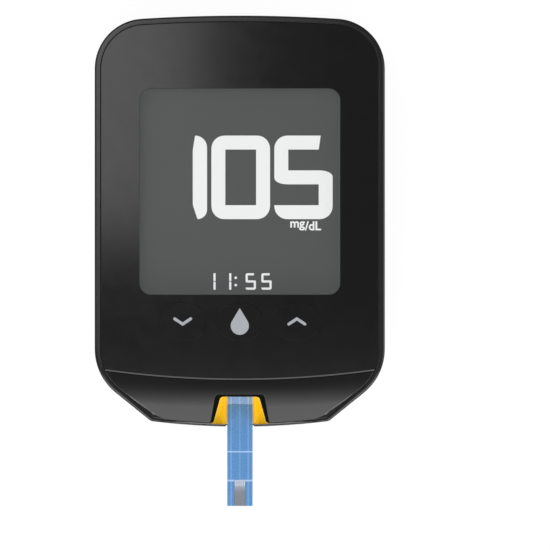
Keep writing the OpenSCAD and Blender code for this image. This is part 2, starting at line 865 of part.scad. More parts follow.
module key_cap(k) {
    x = key_xs[k];
    color(panel_black) difference() {
        union() {
            pill(key_w, key_l, tab_z, body_t, x, key_y);
            block([x - key_w / 2 - key_tab_w, key_y - key_l / 4, tab_z],
                  [x + key_w / 2 + key_tab_w, key_y + key_l / 4, tab_z + key_tab_t]);
        }
        key_symbol(k, body_t - symbol_t, body_t + over);
    }
}

module key_inlay(k) {
    color(silver) key_symbol(k, body_t - symbol_t, body_t);
}

module key_plunger(k) {
    color("#d8d8d4") translate([key_xs[k], key_y, 0]) {
        translate([0, 0, plunger_bottom])
            cylinder(r = plunger_r, h = tab_z - plunger_bottom);
        translate([0, 0, tab_z - plunger_head_t])
            cylinder(r = plunger_head_r, h = plunger_head_t);
    }
}

// Frame that guides the plungers and stands on the board
module key_guide() {
    y = key_y - key_guide_drop;
    post_xs = [key_pitch / 2, key_pitch + key_guide_end - key_guide_post_r];
    color("#e4e4e0") difference() {
        union() {
            rounded_plate(2 * (key_pitch + key_guide_end), key_guide_l, 1,
                          key_guide_z, key_guide_z + key_guide_t, y = y);
            for (s = [-1, 1], x = post_xs)
                translate([s * x, y - key_guide_l / 2 + key_guide_post_r, board_top])
                    cylinder(r = key_guide_post_r, h = key_guide_z - board_top + 0.2);
        }
        for (x = key_xs) translate([x, key_y, key_guide_z - over])
            cylinder(r = plunger_r + 0.08, h = key_guide_t + 2 * over);
    }
}

// Shallow domed snap disc
module dome(k) {
    sheet = 0.08;
    ball_r = (pow(dome_r, 2) + pow(dome_h, 2)) / (2 * dome_h);
    a = acos((ball_r - dome_h) / ball_r);
    steps = 5;
    color(steel) translate([key_xs[k], key_y, board_top])
        rotate_extrude()
            polygon(concat(
                [for (i = [0:steps]) let (t = a * i / steps)
                    [ball_r * sin(t), ball_r * cos(t) - ball_r + dome_h]],
                [for (i = [steps:-1:0]) let (t = a * i / steps)
                    [(ball_r - sheet) * sin(t), max(0, (ball_r - sheet) * cos(t) - ball_r + dome_h)]]
            ));
}

// One layer of the display, centred on x, between two lengths and two heights
module lcd_layer(w, y0, y1, z0, z1) {
    rounded_plate(w, y1 - y0, 0.6, z0, z1, y = (y0 + y1) / 2, n = 3);
}

module lcd_gasket() {
    g = deck_window_gap + seat_gap;
    border = glass_margin - 0.05;
    color("#232326") difference() {
        rounded_plate(window_w + 2 * (border + glass_side - seat_gap), window_l + 2 * border,
                      window_r, lcd_top, deck_z, y = window_cy);
        rounded_plate(window_w + 2 * g, window_l + 2 * g, window_r, lcd_top - over, deck_z + over,
                      y = window_cy);
    }
}

module lcd_front_polariser() {
    color(display_grey)
        lcd_layer(glass_w - 2 * polariser_inset, glass_bottom, glass_top,
                 lcd_top - polariser_t, lcd_top);
}

module lcd_front_glass() {
    color("#a9c4c0")
        lcd_layer(glass_w, glass_bottom, glass_top + ledge_l, front_glass_z, front_glass_z + glass_t);
}

module lcd_rear_glass() {
    color("#a9c4c0") lcd_layer(glass_w, glass_bottom, glass_top, rear_glass_z, rear_glass_z + glass_t);
}

module lcd_rear_polariser() {
    color("#8b9290")
        lcd_layer(glass_w - 2 * polariser_inset, glass_bottom + film_inset, glass_top - film_inset,
                 rear_polariser_z, rear_polariser_z + polariser_t);
}

module backlight_diffuser() {
    color("#f2f2ee")
        lcd_layer(guide_w, glass_bottom + film_inset, glass_top - film_inset,
                  diffuser_z, diffuser_z + film_t);
}

module backlight_guide() {
    color("#e6eef2")
        lcd_layer(guide_w, glass_bottom + film_inset, glass_top - film_inset, guide_z, guide_z + guide_t);
}

module backlight_reflector() {
    color("#ffffff")
        lcd_layer(guide_w, glass_bottom + film_inset, glass_top - film_inset,
                  reflector_z, reflector_z + film_t);
}

module backlight_leds() {
    x = guide_w / 2 + rest_gap;
    color("#f4f1dc") for (y = led_ys)
        block([x, y - led_w / 2, guide_z], [x + led_t, y + led_w / 2, guide_z + guide_t]);
}

module lcd_holder() {
    outer_w = glass_w + 2 * holder_wall;
    base_w = guide_w - 2 * holder_rail;
    dome_w = key_pitch + dome_r + 1;
    color("#efefec") difference() {
        rounded_plate(outer_w, holder_top - holder_bottom, 1, board_top, deck_z - seat_gap,
                      y = (holder_top + holder_bottom) / 2, n = 4);
        // Open middle under the light guide
        block([-base_w / 2, glass_bottom + holder_rail, board_top - over],
              [base_w / 2, glass_top - holder_rail - 1, reflector_z + over]);
        // Seat of the light guide and its films
        block([-guide_w / 2 - seat_gap, glass_bottom + seat_gap, reflector_z - 0.01],
              [guide_w / 2 + seat_gap, glass_top - seat_gap, body_t]);
        // Seat of the two glasses
        block([-glass_w / 2 - seat_gap, glass_bottom - seat_gap, rear_polariser_z - 0.01],
              [glass_w / 2 + seat_gap, glass_top + ledge_l + seat_gap, body_t]);
        // Room for the key domes under the lower bar
        block([-dome_w, holder_bottom - over, board_top - over],
              [dome_w, glass_bottom + holder_rail + 0.01, board_top + dome_h + dome_room]);
        // Well for the elastomer connector
        translate([0, elastomer_y, board_top + body_t / 2 - over])
            cube([elastomer_w + 2 * seat_gap, elastomer_l + 2 * seat_gap, body_t], center = true);
        for (y = led_ys)
            block([guide_w / 2, y - led_w / 2 - rest_gap, guide_z - 0.01],
                  [guide_w / 2 + led_t + seat_gap, y + led_w / 2 + rest_gap, body_t]);
    }
}

module elastomer_connector() {
    color("#c9742c")
        block([-elastomer_w / 2, elastomer_y - elastomer_l / 2, board_top],
              [elastomer_w / 2, elastomer_y + elastomer_l / 2, front_glass_z]);
}

// Outline of a five of stroke s and corner radius r below s, its lower left corner at the origin
function five(w, h, s, r) =
    let (
        mid = (h + s) / 2,
        flat_r = [r, r / 2],
        slant = s / 7
    )
    concat(
        [[w - 0.86 * s, h], [w - 0.86 * s - slant, h - s], [s, h - s], [s, mid]],
        arc([w - r, mid - flat_r[1]], flat_r, 90, 0, 6),
        arc([w - r, r], r, 0, -90, 6),
        arc([r, r], r, -90, -180, 6),
        [[0, s], [w - s, s], [w - s, mid - s]],
        arc([r, mid - s + flat_r[1]], flat_r, -90, -180, 6),
        arc([r, h - r], r, 180, 90, 6)
    );

// Outline of a large one with pointed ends
function one(w, h) =
    let (top_x = w / 6, low_x = w / 3)
    concat(
        arc([top_x, h - w + top_x], w - top_x, 90, 0, 6),
        arc([low_x, w - low_x], w - low_x, 0, -90, 6),
        [[0, w], [0, h - w]]
    );

module lcd_segments() {
    zero_x = one_w + digit_gap;
    five_x = zero_x + zero_w + digit_gap;
    color("#eef2f2") translate([0, 0, lcd_top]) linear_extrude(height = segment_t) {
        translate([-digit_left, window_bottom + digit_rise]) {
            polygon(one(one_w, digit_h));
            translate([zero_x + zero_w / 2, digit_h / 2]) difference() {
                polygon(rounded(zero_w, digit_h, digit_r));
                square([zero_w - 2 * digit_stroke, digit_h - 2 * digit_stroke], center = true);
            }
            translate([five_x, 0]) polygon(five(five_w, digit_h, digit_stroke, digit_r));
        }
        translate([-clock_left, window_bottom + clock_rise]) clock();
    }
}

// The time 11:55, its lower left corner at the origin
module clock() {
    bar_gap = clock_stroke / 6;
    bar_l = clock_h / 2 - bar_gap;
    colon_x = clock_pitch + clock_w + colon_space / 2;
    for (i = [0:1], y = [0, clock_h - bar_l]) translate([clock_pitch * i + clock_w - clock_stroke, y])
        square([clock_stroke, bar_l]);
    for (y = [0.28, 0.72]) translate([colon_x, clock_h * y])
        circle(r = clock_stroke * 0.6, $fn = 24);
    for (i = [2:3]) translate([clock_pitch * i + colon_space, 0])
        polygon(five(clock_w, clock_h, clock_stroke, clock_stroke * 0.9));
}

module main_board() {
    color(board_green) difference() {
        plate(outline(wall + board_gap), board_z, board_top);
        for (s = screws) translate([s[0], s[1], board_z - over])
            cylinder(r = screw_r + screw_gap + seat_gap, h = board_t + 2 * over);
    }
}

// Chips and the buzzer hang under the board, between the battery bay and the strip port
module processor() {
    mark_r = 0.35;
    half = processor_w / 2;
    color(chip_black) translate([processor_x - half, processor_y - half, board_z - chip_h])
        difference() {
            cube([processor_w, processor_w, chip_h]);
            translate([1, processor_w - 1, 0.1 - over]) cylinder(r = mark_r, h = over, $fn = 16);
        }
}

module memory_chip() {
    x = processor_x + memory_gap;
    color(chip_black)
        block([x, processor_y - memory_l / 2, board_z - chip_h],
              [x + memory_w, processor_y + memory_l / 2, board_z]);
}

module crystal() {
    color(silver)
        rounded_plate(crystal_w, crystal_l, 0.4, board_z - crystal_h, board_z,
                      y = crystal_y, x = processor_x);
}

module buzzer() {
    port_r = 0.9;
    color(brass_gold) translate([buzzer_x, buzzer_y, board_z - buzzer_h]) difference() {
        cylinder(r = buzzer_r, h = buzzer_h);
        translate([0, 0, -over]) cylinder(r = port_r, h = over + buzzer_h / 3);
    }
}

// Resistors and capacitors in two rows under the board
module board_passives() {
    color("#b89b7a") for (i = [0:5], row = [0:1])
        translate([passive_x + passive_pitch * i, passive_y - 4 * passive_l * row, board_z - passive_h])
            cube([passive_w, passive_l, passive_h]);
}

// Springs that press on the cells' upper, negative faces
module battery_negative_springs() {
    color(steel) for (x = cell_xs) {
        block([x - spring_w / 2, cell_y - spring_off + 2, cell_top + 0.02],
              [x + spring_w / 2, cell_y + spring_off + clip_t, roof_z - 0.03]);
        block([x - spring_w / 2, cell_y + spring_off, roof_z - 0.04],
              [x + spring_w / 2, cell_y + spring_off + clip_t, board_z]);
    }
}

// Clips that touch the cells' sides, which are positive
module battery_positive_clips() {
    y = cell_y - cell_d / 2 - 0.02;
    color(steel) for (x = cell_xs)
        block([x - clip_w / 2, y - clip_t, pocket_z + 0.4], [x + clip_w / 2, y, board_z]);
}

// The can of the cell at x, open at the top around its cap
module cell(x) {
    color(silver) translate([x, cell_y, cell_z]) difference() {
        cylinder(r = cell_d / 2, h = cell_t - can_rim);
        translate([0, 0, cell_t - cap_h]) cylinder(r = cap_r + seal_w, h = over);
    }
}

module meter_battery() {
    cell(cell_xs[0]);
}

module light_battery() {
    cell(cell_xs[1]);
}

module battery_caps() {
    color(steel) for (x = cell_xs) translate([x, cell_y, cell_top - cap_h])
        cylinder(r = cap_r, h = cap_h);
}

module battery_seals() {
    color("#e9e6da") for (x = cell_xs) translate([x, cell_y, cell_top - cap_h]) difference() {
        cylinder(r = cap_r + seal_w, h = cap_h - can_rim / 2);
        translate([0, 0, -over]) cylinder(r = cap_r, h = 2 * over);
    }
}

module battery_door() {
    w = door_w / 2;
    color(black) difference() {
        intersection() {
            envelope();
            union() {
                block([-w, door_y, door_inset], [w, top_y + over, door_top]);
                block([-w - tongue_w, door_y, door_lip + door_gap], [w + tongue_w, top_y + over, door_top]);
            }
        }
        for (i = [0:groove_count - 1])
            rounded_plate(groove_l, groove_w, groove_w / 2 - 0.01, -over, door_inset + groove_depth,
                          y = top_y - groove_from_top - groove_pitch * i, n = 4);
    }
}

module strip_port_liner() {
    mouth_w = port_mouth_w - seat_gap;
    side_w = mouth_w + liner_wing;
    end_y = bottom_y + cover_inset + skirt_t + liner_back_gap;
    high = [notch_top_w - notch_bevel, notch_end_w - notch_bevel];
    color(port_yellow) difference() {
        intersection() {
            union() {
                block([-side_w, end_y, board_top], [side_w, liner_back_y, liner_top]);
                block([-mouth_w, bottom_y, board_top], [mouth_w, end_y + 0.01, liner_top]);
            }
            plate(outline(0.2), 0, body_t);
        }
        notch_funnel(notch(floor_top_w, floor_end_w, liner_r, 0), floor_z,
                     notch(high[0], high[1], liner_r, 0), liner_top + 0.02);
        // Slot that the strip passes through
        block([-strip_w / 2 - strip_gap, notch_y - over, floor_z],
              [strip_w / 2 + strip_gap, liner_back_y + over, slot_top]);
    }
}

module strip_connector() {
    y0 = liner_back_y + seat_gap;
    y1 = strip_end_y + connector_wall;
    color("#26262a") difference() {
        block([-connector_w / 2, y0, board_top],
              [connector_w / 2, y1, slot_top + contact_space + connector_wall]);
        block([-strip_w / 2 - strip_gap, y0 - over, floor_z],
              [strip_w / 2 + strip_gap, strip_end_y + strip_gap, slot_top + contact_space]);
    }
}

// Bent spring contacts that press on the strip's electrodes, seen from the side
module strip_contacts() {
    y1 = strip_end_y + strip_gap;
    sheet = 0.15;
    low = sheet - 0.07;
    high = contact_space - 0.01;
    side = [
        [-6, 2 * sheet], [-4.4, low - sheet], [-3.8, low - sheet], [-0.9, high - sheet], [0, high - sheet],
        [0, high], [-1, high], [-3.9, low], [-4.3, low], [-5.9, 3 * sheet]
    ];
    color(brass_gold) for (i = [0:contact_count - 1])
        translate([(i - (contact_count - 1) / 2) * contact_pitch - contact_w / 2, y1, slot_top])
            rotate([90, 0, 90]) linear_extrude(height = contact_w) polygon(side);
}

module strip_base() {
    color("#9cc2ea")
        block([-strip_w / 2, strip_tip_y, strip_z], [strip_w / 2, strip_end_y, strip_z + strip_base_t]);
}

module strip_cover() {
    z0 = strip_z + strip_base_t;
    color(strip_blue) difference() {
        block([-strip_w / 2, strip_tip_y, z0], [strip_w / 2, cover_start, z0 + strip_cover_t]);
        block([-sample_w / 2, strip_tip_y - over, z0 - over],
              [sample_w / 2, strip_tip_y + sample_l, z0 + strip_cover_t + over]);
    }
}

module strip_electrodes() {
    z0 = strip_z + strip_base_t;
    color("#2a2a2e") for (i = [-1:1])
        block([track_pitch * i - track_w / 2, notch_y + 0.6, z0],
              [track_pitch * i + track_w / 2, strip_end_y - 0.3, z0 + track_t]);
}

module strip_sample_window() {
    z0 = strip_z + strip_base_t;
    gap = 0.02;
    color("#9a9898")
        block([gap - sample_w / 2, strip_tip_y, z0],
              [sample_w / 2 - gap, strip_tip_y + sample_l - gap, z0 + strip_cover_t - gap]);
}

module usb_shell() {
    r = 0.8;
    color(silver) translate([0, usb_front, usb_z + usb_h / 2]) rotate([90, 0, 0])
        difference() {
            linear_extrude(height = usb_l) polygon(rounded(usb_w, usb_h, r));
            translate([0, 0, -over]) linear_extrude(height = usb_l + over - usb_sheet)
                polygon(rounded(usb_w - 2 * usb_sheet, usb_h - 2 * usb_sheet, r - usb_sheet));
        }
}

module usb_tongue() {
    y0 = usb_front - usb_l + usb_sheet;
    z0 = usb_z + usb_h / 2 - usb_pin_t;
    color("#18181a")
        block([-usb_w / 4, y0, z0], [usb_w / 4, usb_front - 0.6, z0 + usb_tongue_t]);
}

module usb_contacts() {
    z0 = usb_z + usb_h / 2 - 2 * usb_pin_t;
    color(brass_gold) for (i = [-2:2])
        translate([usb_pin_pitch * i - usb_pin_w / 2, usb_front - usb_l + usb_sheet, z0])
            cube([usb_pin_w, usb_l - usb_sheet - 0.9, usb_pin_t]);
}

module case_screws() {
    slot_w = 0.5;
    slot_l = 2;
    slot_h = 0.6;
    color(steel) for (s = screws) translate(s) difference() {
        union() {
            cylinder(r = screw_head_r, h = screw_head_h);
            translate([0, 0, screw_head_h - 0.01]) cylinder(r = screw_r, h = screw_l);
        }
        for (a = [0, 90]) rotate([0, 0, a])
            translate([-slot_l / 2, -slot_w / 2, -over]) cube([slot_l, slot_w, slot_h + over]);
    }
}

module rear_label() {
    color("#c9cccf")
        rounded_plate(label_w, label_l, label_r, label_depth - label_t, label_depth, y = label_y);
}

rear_housing();
front_cover();
front_panel();
display_window();
key_cap(0);  // key_down_cap
key_cap(1);  // key_home_cap
key_cap(2);  // key_up_cap
key_inlay(0);  // key_down_symbol
key_inlay(1);  // key_home_symbol
key_inlay(2);  // key_up_symbol
key_plunger(0);  // key_down_plunger
key_plunger(1);  // key_home_plunger
key_plunger(2);  // key_up_plunger
key_guide();
dome(0);  // dome_down
dome(1);  // dome_home
dome(2);  // dome_up
lcd_gasket();
lcd_segments();
lcd_front_polariser();
lcd_front_glass();
lcd_rear_glass();
lcd_rear_polariser();
backlight_diffuser();
backlight_guide();
backlight_reflector();
backlight_leds();
lcd_holder();
elastomer_connector();
main_board();
processor();
memory_chip();
crystal();
buzzer();
board_passives();
battery_negative_springs();
battery_positive_clips();
meter_battery();
light_battery();
battery_caps();
battery_seals();
battery_door();
strip_port_liner();
strip_connector();
strip_contacts();
strip_base();
strip_cover();
strip_electrodes();
strip_sample_window();
usb_shell();
usb_tongue();
usb_contacts();
case_screws();
rear_label();
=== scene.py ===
"""Looks of a pocket blood glucose meter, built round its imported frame.

Shapes are worked out in millimetres, in the construction's own frame, and make_mesh turns them into metres.
An outline is given by a function of its inset, and a solid by such a function and a profile of (inset, height).
"""
import json
from math import acos, atan, atan2, cos, degrees, hypot, pi, radians, sin, sqrt, tan

import bmesh
import bpy
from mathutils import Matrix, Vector


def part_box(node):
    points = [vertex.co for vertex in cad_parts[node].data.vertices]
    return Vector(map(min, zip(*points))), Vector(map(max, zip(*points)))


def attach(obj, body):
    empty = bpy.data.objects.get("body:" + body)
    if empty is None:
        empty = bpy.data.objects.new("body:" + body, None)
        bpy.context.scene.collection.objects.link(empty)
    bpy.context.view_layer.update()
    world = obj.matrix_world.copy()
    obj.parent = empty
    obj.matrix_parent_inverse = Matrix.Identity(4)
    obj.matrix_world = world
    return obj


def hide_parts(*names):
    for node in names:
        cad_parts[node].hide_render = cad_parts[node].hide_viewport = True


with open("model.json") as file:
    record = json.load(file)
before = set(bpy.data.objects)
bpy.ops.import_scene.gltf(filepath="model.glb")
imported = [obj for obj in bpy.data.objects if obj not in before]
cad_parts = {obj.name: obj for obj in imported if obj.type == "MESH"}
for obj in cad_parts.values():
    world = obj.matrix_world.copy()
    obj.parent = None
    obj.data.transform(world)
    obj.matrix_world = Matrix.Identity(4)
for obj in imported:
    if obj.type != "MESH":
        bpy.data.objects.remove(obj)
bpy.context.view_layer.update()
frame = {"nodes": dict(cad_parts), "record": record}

MM = 0.001


class Span:
    """Corners, middle and size of a CAD node, in millimetres."""

    def __init__(self, node):
        self.low, self.high = [[c / MM for c in corner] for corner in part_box(node)]
        self.mid = [(a + b) / 2 for a, b in zip(self.low, self.high)]
        self.size = [b - a for a, b in zip(self.low, self.high)]


# ---- sizes of the body

HOUSING, PANEL, LINER = Span("rear_housing"), Span("front_panel"), Span("strip_port_liner")
BODY_W = 2 * HOUSING.high[0]
TOP_Y = HOUSING.high[1]
BOTTOM_Y = -TOP_Y
FRONT_Z = PANEL.high[2]
RIM_Z = HOUSING.high[2]
PANEL_Z = PANEL.low[2]

# Outline of the body, seen from the front
TOP_ARCH_R = 300
TOP_CORNER_R = 9.7
LOWER_CORNER_R = 10.9
LOWER_CORNER_RISE = 15.08
SLANT = 39.1
BOTTOM_ARCH_R = 138
CHIN_CORNER_R = 1.5
REAR_EDGE_R = 2.5
SIDE_DRAFT = 0.5
TOP_ARCH_CY = TOP_Y - TOP_ARCH_R
TOP_CORNER_X = BODY_W / 2 - TOP_CORNER_R
TOP_CORNER_Y = TOP_ARCH_CY + sqrt((TOP_ARCH_R - TOP_CORNER_R) ** 2 - TOP_CORNER_X ** 2)
LOWER_CORNER_X = BODY_W / 2 - LOWER_CORNER_R
LOWER_CORNER_Y = BOTTOM_Y + LOWER_CORNER_RISE
BOTTOM_ARCH_CY = BOTTOM_Y + BOTTOM_ARCH_R
SLANT_N = (sin(radians(SLANT)), -cos(radians(SLANT)))
SLANT_T = (cos(radians(SLANT)), sin(radians(SLANT)))
SLANT_C = SLANT_N[0] * LOWER_CORNER_X + SLANT_N[1] * LOWER_CORNER_Y + LOWER_CORNER_R

# Shells
WALL = 1.6
REAR_WALL = 1.6
INNER_R = 0.6
RIM_W = 1.16
# Section of the rim from its outer edge to the seam, as inset and drop
RIM_CROWN = [(0, 0.25), (0.16, 0.13), (0.36, 0.03), (0.64, 0), (RIM_W - 0.09, 0), (RIM_W - 0.05, 0),
             (RIM_W - 0.015, 0.01), (RIM_W, 0.04)]
# The rim leans forwards beside the port, out to these distances from the middle
RIM_TILT = 0.24
TILT_END_X = 13.5
TILT_EASE = 3
COVER_INSET = 1.24
# Shares of a full inset that the seam keeps along the slants and the chin, and where they take over
SLANT_SHARE = 0.86
SEAM_SHARE = 0.5
SEAM_EASE = 6.5
CHIN_BAND = 1.8
CHIN_EASE = 0.9
SKIRT_T = 1.15
SKIRT_Z = 11.0
DECK_Z = 13.2
CHIN_T = 1.6

# The chin's surface: a roll that starts at the crease
CHIN_L = 8.95
CREASE_R = 190
ROLL_R = 24
ROLL_SLOPE = radians(4)
CREASE_CY = BOTTOM_Y + CHIN_L + CREASE_R
ROLL_S = -ROLL_R * sin(ROLL_SLOPE)
ROLL_Z = FRONT_Z - ROLL_R * cos(ROLL_SLOPE)
RIM_DROP = FRONT_Z - RIM_Z

# The notch of the strip port, with half widths at its inner end and at the bottom edge
LINER_TOP = LINER.high[2]
BOARD_TOP = LINER.low[2]
NOTCH_DEPTH = 5.93
NOTCH_Y = BOTTOM_Y + NOTCH_DEPTH
NOTCH_LOW = (3.74, 5.36)
NOTCH_LOW_Z = LINER_TOP - 0.02
NOTCH_R = 0.8
NOTCH_FLARE = 0.6
NOTCH_TOP_LEAN = 0.14
NOTCH_LEAN = 0.78 / (FRONT_Z - 1 - LINER_TOP)
NOTCH_MOUTH_Y = BOTTOM_Y + SEAM_SHARE * COVER_INSET + 5.98 ** 2 / (2 * BOTTOM_ARCH_R)
NOTCH_RIB = 0.9
FUNNEL_Y = BOTTOM_Y + 5.64
PORT_FLOOR = (3.06, 3.64)
PORT_FLOOR_Z = 9.2
PORT_MOUTH_W = 6.23
LIP_T = 0.44
LIP_TOP = LINER_TOP + 1.6
STRIP = Span("strip_base")
STRIP_TIP_Y = STRIP.low[1]
STRIP_W = 2 * STRIP.high[0]
# Middle and half width of each line printed along the strip, and across it
LINES_ALONG = ((0.0, 0.09), (-1.7, 0.12), (1.62, 0.12), (-STRIP_W / 2, 0.14), (STRIP_W / 2, 0.14))
LINES_ACROSS = ((-44.75, 0.13), (-50.36, 0.16))


# ---- outlines

def clamp(value):
    return min(max(value, 0), 1)


def arc(x, y, r, a0, a1, n):
    """n steps of a circular arc about (x, y), angles in degrees."""
    angles = [radians(a0 + (a1 - a0) * i / n) for i in range(n + 1)]
    return [(x + r * cos(a), y + r * sin(a)) for a in angles]


def quarter(n):
    """n steps of a quarter circle's depth below its two tangents, from (0, 1) to (1, 0)."""
    angles = [pi / 2 * i / n for i in range(n + 1)]
    return [(1 - cos(a), 1 - sin(a)) for a in angles]


def both_sides(half):
    """A path with its mirror image."""
    return half + [(-x, y) for x, y in half[::-1]]


def chin_corner(d):
    """Centre and radius of the small corner at an end of the bottom edge, for an inset of d."""
    r = max(CHIN_CORNER_R - d, 0.2)
    q = SLANT_C - d - r - SLANT_N[1] * BOTTOM_ARCH_CY
    s = sqrt((BOTTOM_ARCH_R - d - r) ** 2 - q * q)
    return q * SLANT_N[0] - s * SLANT_T[0], BOTTOM_ARCH_CY + q * SLANT_N[1] - s * SLANT_T[1], r


def outline(d):
    """The body's outline moved inwards by d, clockwise from the middle of the top edge."""
    top_a = degrees(atan2(TOP_CORNER_Y - TOP_ARCH_CY, TOP_CORNER_X))
    x, y, r = chin_corner(d)
    bottom_a = degrees(atan2(y - BOTTOM_ARCH_CY, x))
    right = (
        arc(0, TOP_ARCH_CY, TOP_ARCH_R - d, 90, top_a, 10)[:-1]
        + arc(TOP_CORNER_X, TOP_CORNER_Y, TOP_CORNER_R - d, top_a, 0, 22)
        + arc(LOWER_CORNER_X, LOWER_CORNER_Y, LOWER_CORNER_R - d, 0, SLANT - 90, 16)
        + arc(x, y, r, SLANT - 90, bottom_a, 6)[:-1]
        + arc(0, BOTTOM_ARCH_CY, BOTTOM_ARCH_R - d, bottom_a, -90, 16)
    )
    return right + [(-px, py) for px, py in right[-2:0:-1]]


def seam_outline(d):
    """The outline moved in by d for rim and seam, which run closer to the edge along the chin."""
    moved = []
    for (x, y), (ix, iy) in zip(outline(0), outline(1)):
        side = clamp((y - LOWER_CORNER_Y + SEAM_EASE) / SEAM_EASE)
        end = clamp((CHIN_BAND + BOTTOM_Y - y) / CHIN_EASE)
        share = (SLANT_SHARE + (1 - SLANT_SHARE) * side) * (1 - end) + SEAM_SHARE * end
        moved.append((x + (ix - x) * d * share, y + (iy - y) * d * share))
    return moved


def rounded(w, l, r, x=0.0, y=0.0, n=8):
    """A rounded rectangle about (x, y)."""
    def shape(d):
        hx, hy = w / 2 - d, l / 2 - d
        rr = min(max(r - d, 0.01), hx - 0.001, hy - 0.001)
        return (
            arc(x + hx - rr, y + hy - rr, rr, 90, 0, n)
            + arc(x + hx - rr, y - hy + rr, rr, 0, -90, n)
            + arc(x - hx + rr, y - hy + rr, rr, -90, -180, n)
            + arc(x - hx + rr, y + hy - rr, rr, 180, 90, n)
        )
    return shape


def round_hole(r, x=0.0, y=0.0, n=48):
    """A circle about (x, y)."""
    return lambda d: arc(x, y, r - d, 0, -360, n)[:-1]


def reach(x, y):
    """Distance from the crease's centre."""
    return hypot(x, y - CREASE_CY)


def front_height(x, y):
    """Height of the front face, which rolls down beyond the crease."""
    s = reach(x, y) - CREASE_R
    return FRONT_Z if s <= 0 else ROLL_Z + sqrt(ROLL_R ** 2 - (s - ROLL_S) ** 2)


def inset_points(points, d):
    """A closed clockwise outline moved inwards by d along its corners' bisectors."""
    moved = []
    for i, p in enumerate(points):
        before, after = points[i - 1], points[(i + 1) % len(points)]
        e1 = Vector((p[0] - before[0], p[1] - before[1])).normalized()
        e2 = Vector((after[0] - p[0], after[1] - p[1])).normalized()
        n1, n2 = Vector((e1.y, -e1.x)), Vector((e2.y, -e2.x))
        shift = (n1 + n2) / (1 + max(n1.dot(n2), -0.5)) * d
        moved.append((p[0] + shift.x, p[1] + shift.y))
    return moved


# ---- meshes

def new_object(name, data):
    obj = bpy.data.objects.new(name, data)
    bpy.context.scene.collection.objects.link(obj)
    return obj


def tidy(mesh):
    """Joins coincident points, drops faces without area and turns all faces outwards."""
    bm = bmesh.new()
    bm.from_mesh(mesh)
    bmesh.ops.remove_doubles(bm, verts=bm.verts, dist=0.002 * MM)
    bmesh.ops.dissolve_degenerate(bm, edges=bm.edges, dist=0.001 * MM)
    bmesh.ops.recalc_face_normals(bm, faces=bm.faces)
    bm.to_mesh(mesh)
    bm.free()


def make_mesh(name, points, faces):
    """A closed mesh object from points in millimetres."""
    mesh = bpy.data.meshes.new(name)
    mesh.from_pydata([[c * MM for c in p] for p in points], [], faces)
    tidy(mesh)
    return new_object(name, mesh)


def strips(rows, n, closed):
    """Faces between neighbouring rows of n points each."""
    return [
        (k * n + i, k * n + (i + 1) % n, (k + 1) * n + (i + 1) % n, (k + 1) * n + i)
        for k in range(rows - 1) for i in range(n if closed else n - 1)
    ]


def loft(name, rings):
    """A closed skin over rings of equal point counts."""
    n, last = len(rings[0]), (len(rings) - 1) * len(rings[0])
    caps = [tuple(range(n))[::-1], tuple(range(last, last + n))]
    return make_mesh(name, [p for ring in rings for p in ring], strips(len(rings), n, True) + caps)


def level(points, z):
    """The same points at one height."""
    return [(p[0], p[1], z) for p in points]


def slab(name, shape, profile):
    """A solid whose outline at each (inset, height) of the profile is shape(inset)."""
    return loft(name, [level(shape(d), z) for d, z in profile])


def plate(z0, z1, low=0.0, high=0.0, steps=4):
    """Profile of a plate between two heights with rounded lower and upper edges."""
    bottom = [(low * c, z0 + low * s) for c, s in quarter(steps)[::-1]] if low else [(0, z0)]
    top = [(high * c, z1 - high * s) for c, s in quarter(steps)] if high else [(0, z1)]
    return bottom + top


def flared(soft, face, end):
    """Profile of a hole that starts outside a face, has a chamfered mouth there and runs on to its end."""
    step = 1 if end > face else -1
    return [(-soft - 1, face - step), (-soft, face), (0, face + step * soft), (0, end)]


def block(low, high, edge=0.0):
    """A box given by two corners, with softened edges round its upper and lower faces."""
    (x0, y0, z0), (x1, y1, z1) = low, high
    shape = lambda d: [(x0 + d, y1 - d), (x1 - d, y1 - d), (x1 - d, y0 + d), (x0 + d, y0 + d)]
    return slab("block", shape, plate(z0, z1, edge, edge, 1))


def cross(a, b, r, x, y, profile):
    """Two crossed bars about (x, y), with half sides a and b."""
    return [slab("bar", rounded(2 * p, 2 * q, r, x, y, 4), profile) for p, q in ((a, b), (b, a))]


def combine(obj, operation, tools):
    """Applies one exact boolean with all the tools, then deletes them."""
    group = bpy.data.collections.new("tools")
    for tool in tools:
        group.objects.link(tool)
    modifier = obj.modifiers.new("combine", "BOOLEAN")
    modifier.operation = operation
    modifier.solver = "EXACT"
    modifier.operand_type = "COLLECTION"
    modifier.collection = group
    graph = bpy.context.evaluated_depsgraph_get()
    mesh = bpy.data.meshes.new_from_object(obj.evaluated_get(graph))
    obj.modifiers.clear()
    obj.data = mesh
    for tool in tools:
        bpy.data.objects.remove(tool)
    bpy.data.collections.remove(group)
    tidy(mesh)
    return obj


def unite(obj, *tools):
    return combine(obj, "UNION", tools)


def carve(obj, *tools):
    return combine(obj, "DIFFERENCE", tools)


def within(obj, *tools):
    return combine(obj, "INTERSECT", tools)


def join(name, objects):
    """One object that holds the meshes of several."""
    bm = bmesh.new()
    for obj in objects:
        bm.from_mesh(obj.data)
        bpy.data.objects.remove(obj)
    mesh = bpy.data.meshes.new(name)
    bm.to_mesh(mesh)
    bm.free()
    return new_object(name, mesh)


def place(obj, name, slot, nodes=(), body="housing", sharp=32):
    """Names and shades a finished piece, and says what it rides on and stands for."""
    obj.name = name
    obj.data.name = name
    obj.data.materials.clear()
    obj.data.materials.append(MATERIALS[slot])
    obj.data.shade_smooth()
    obj.data.set_sharp_from_angle(angle=radians(sharp))
    obj.modifiers.new("weighted normals", "WEIGHTED_NORMAL").keep_sharp = True
    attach(obj, body)
    if nodes:
        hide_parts(*nodes)


# ---- materials

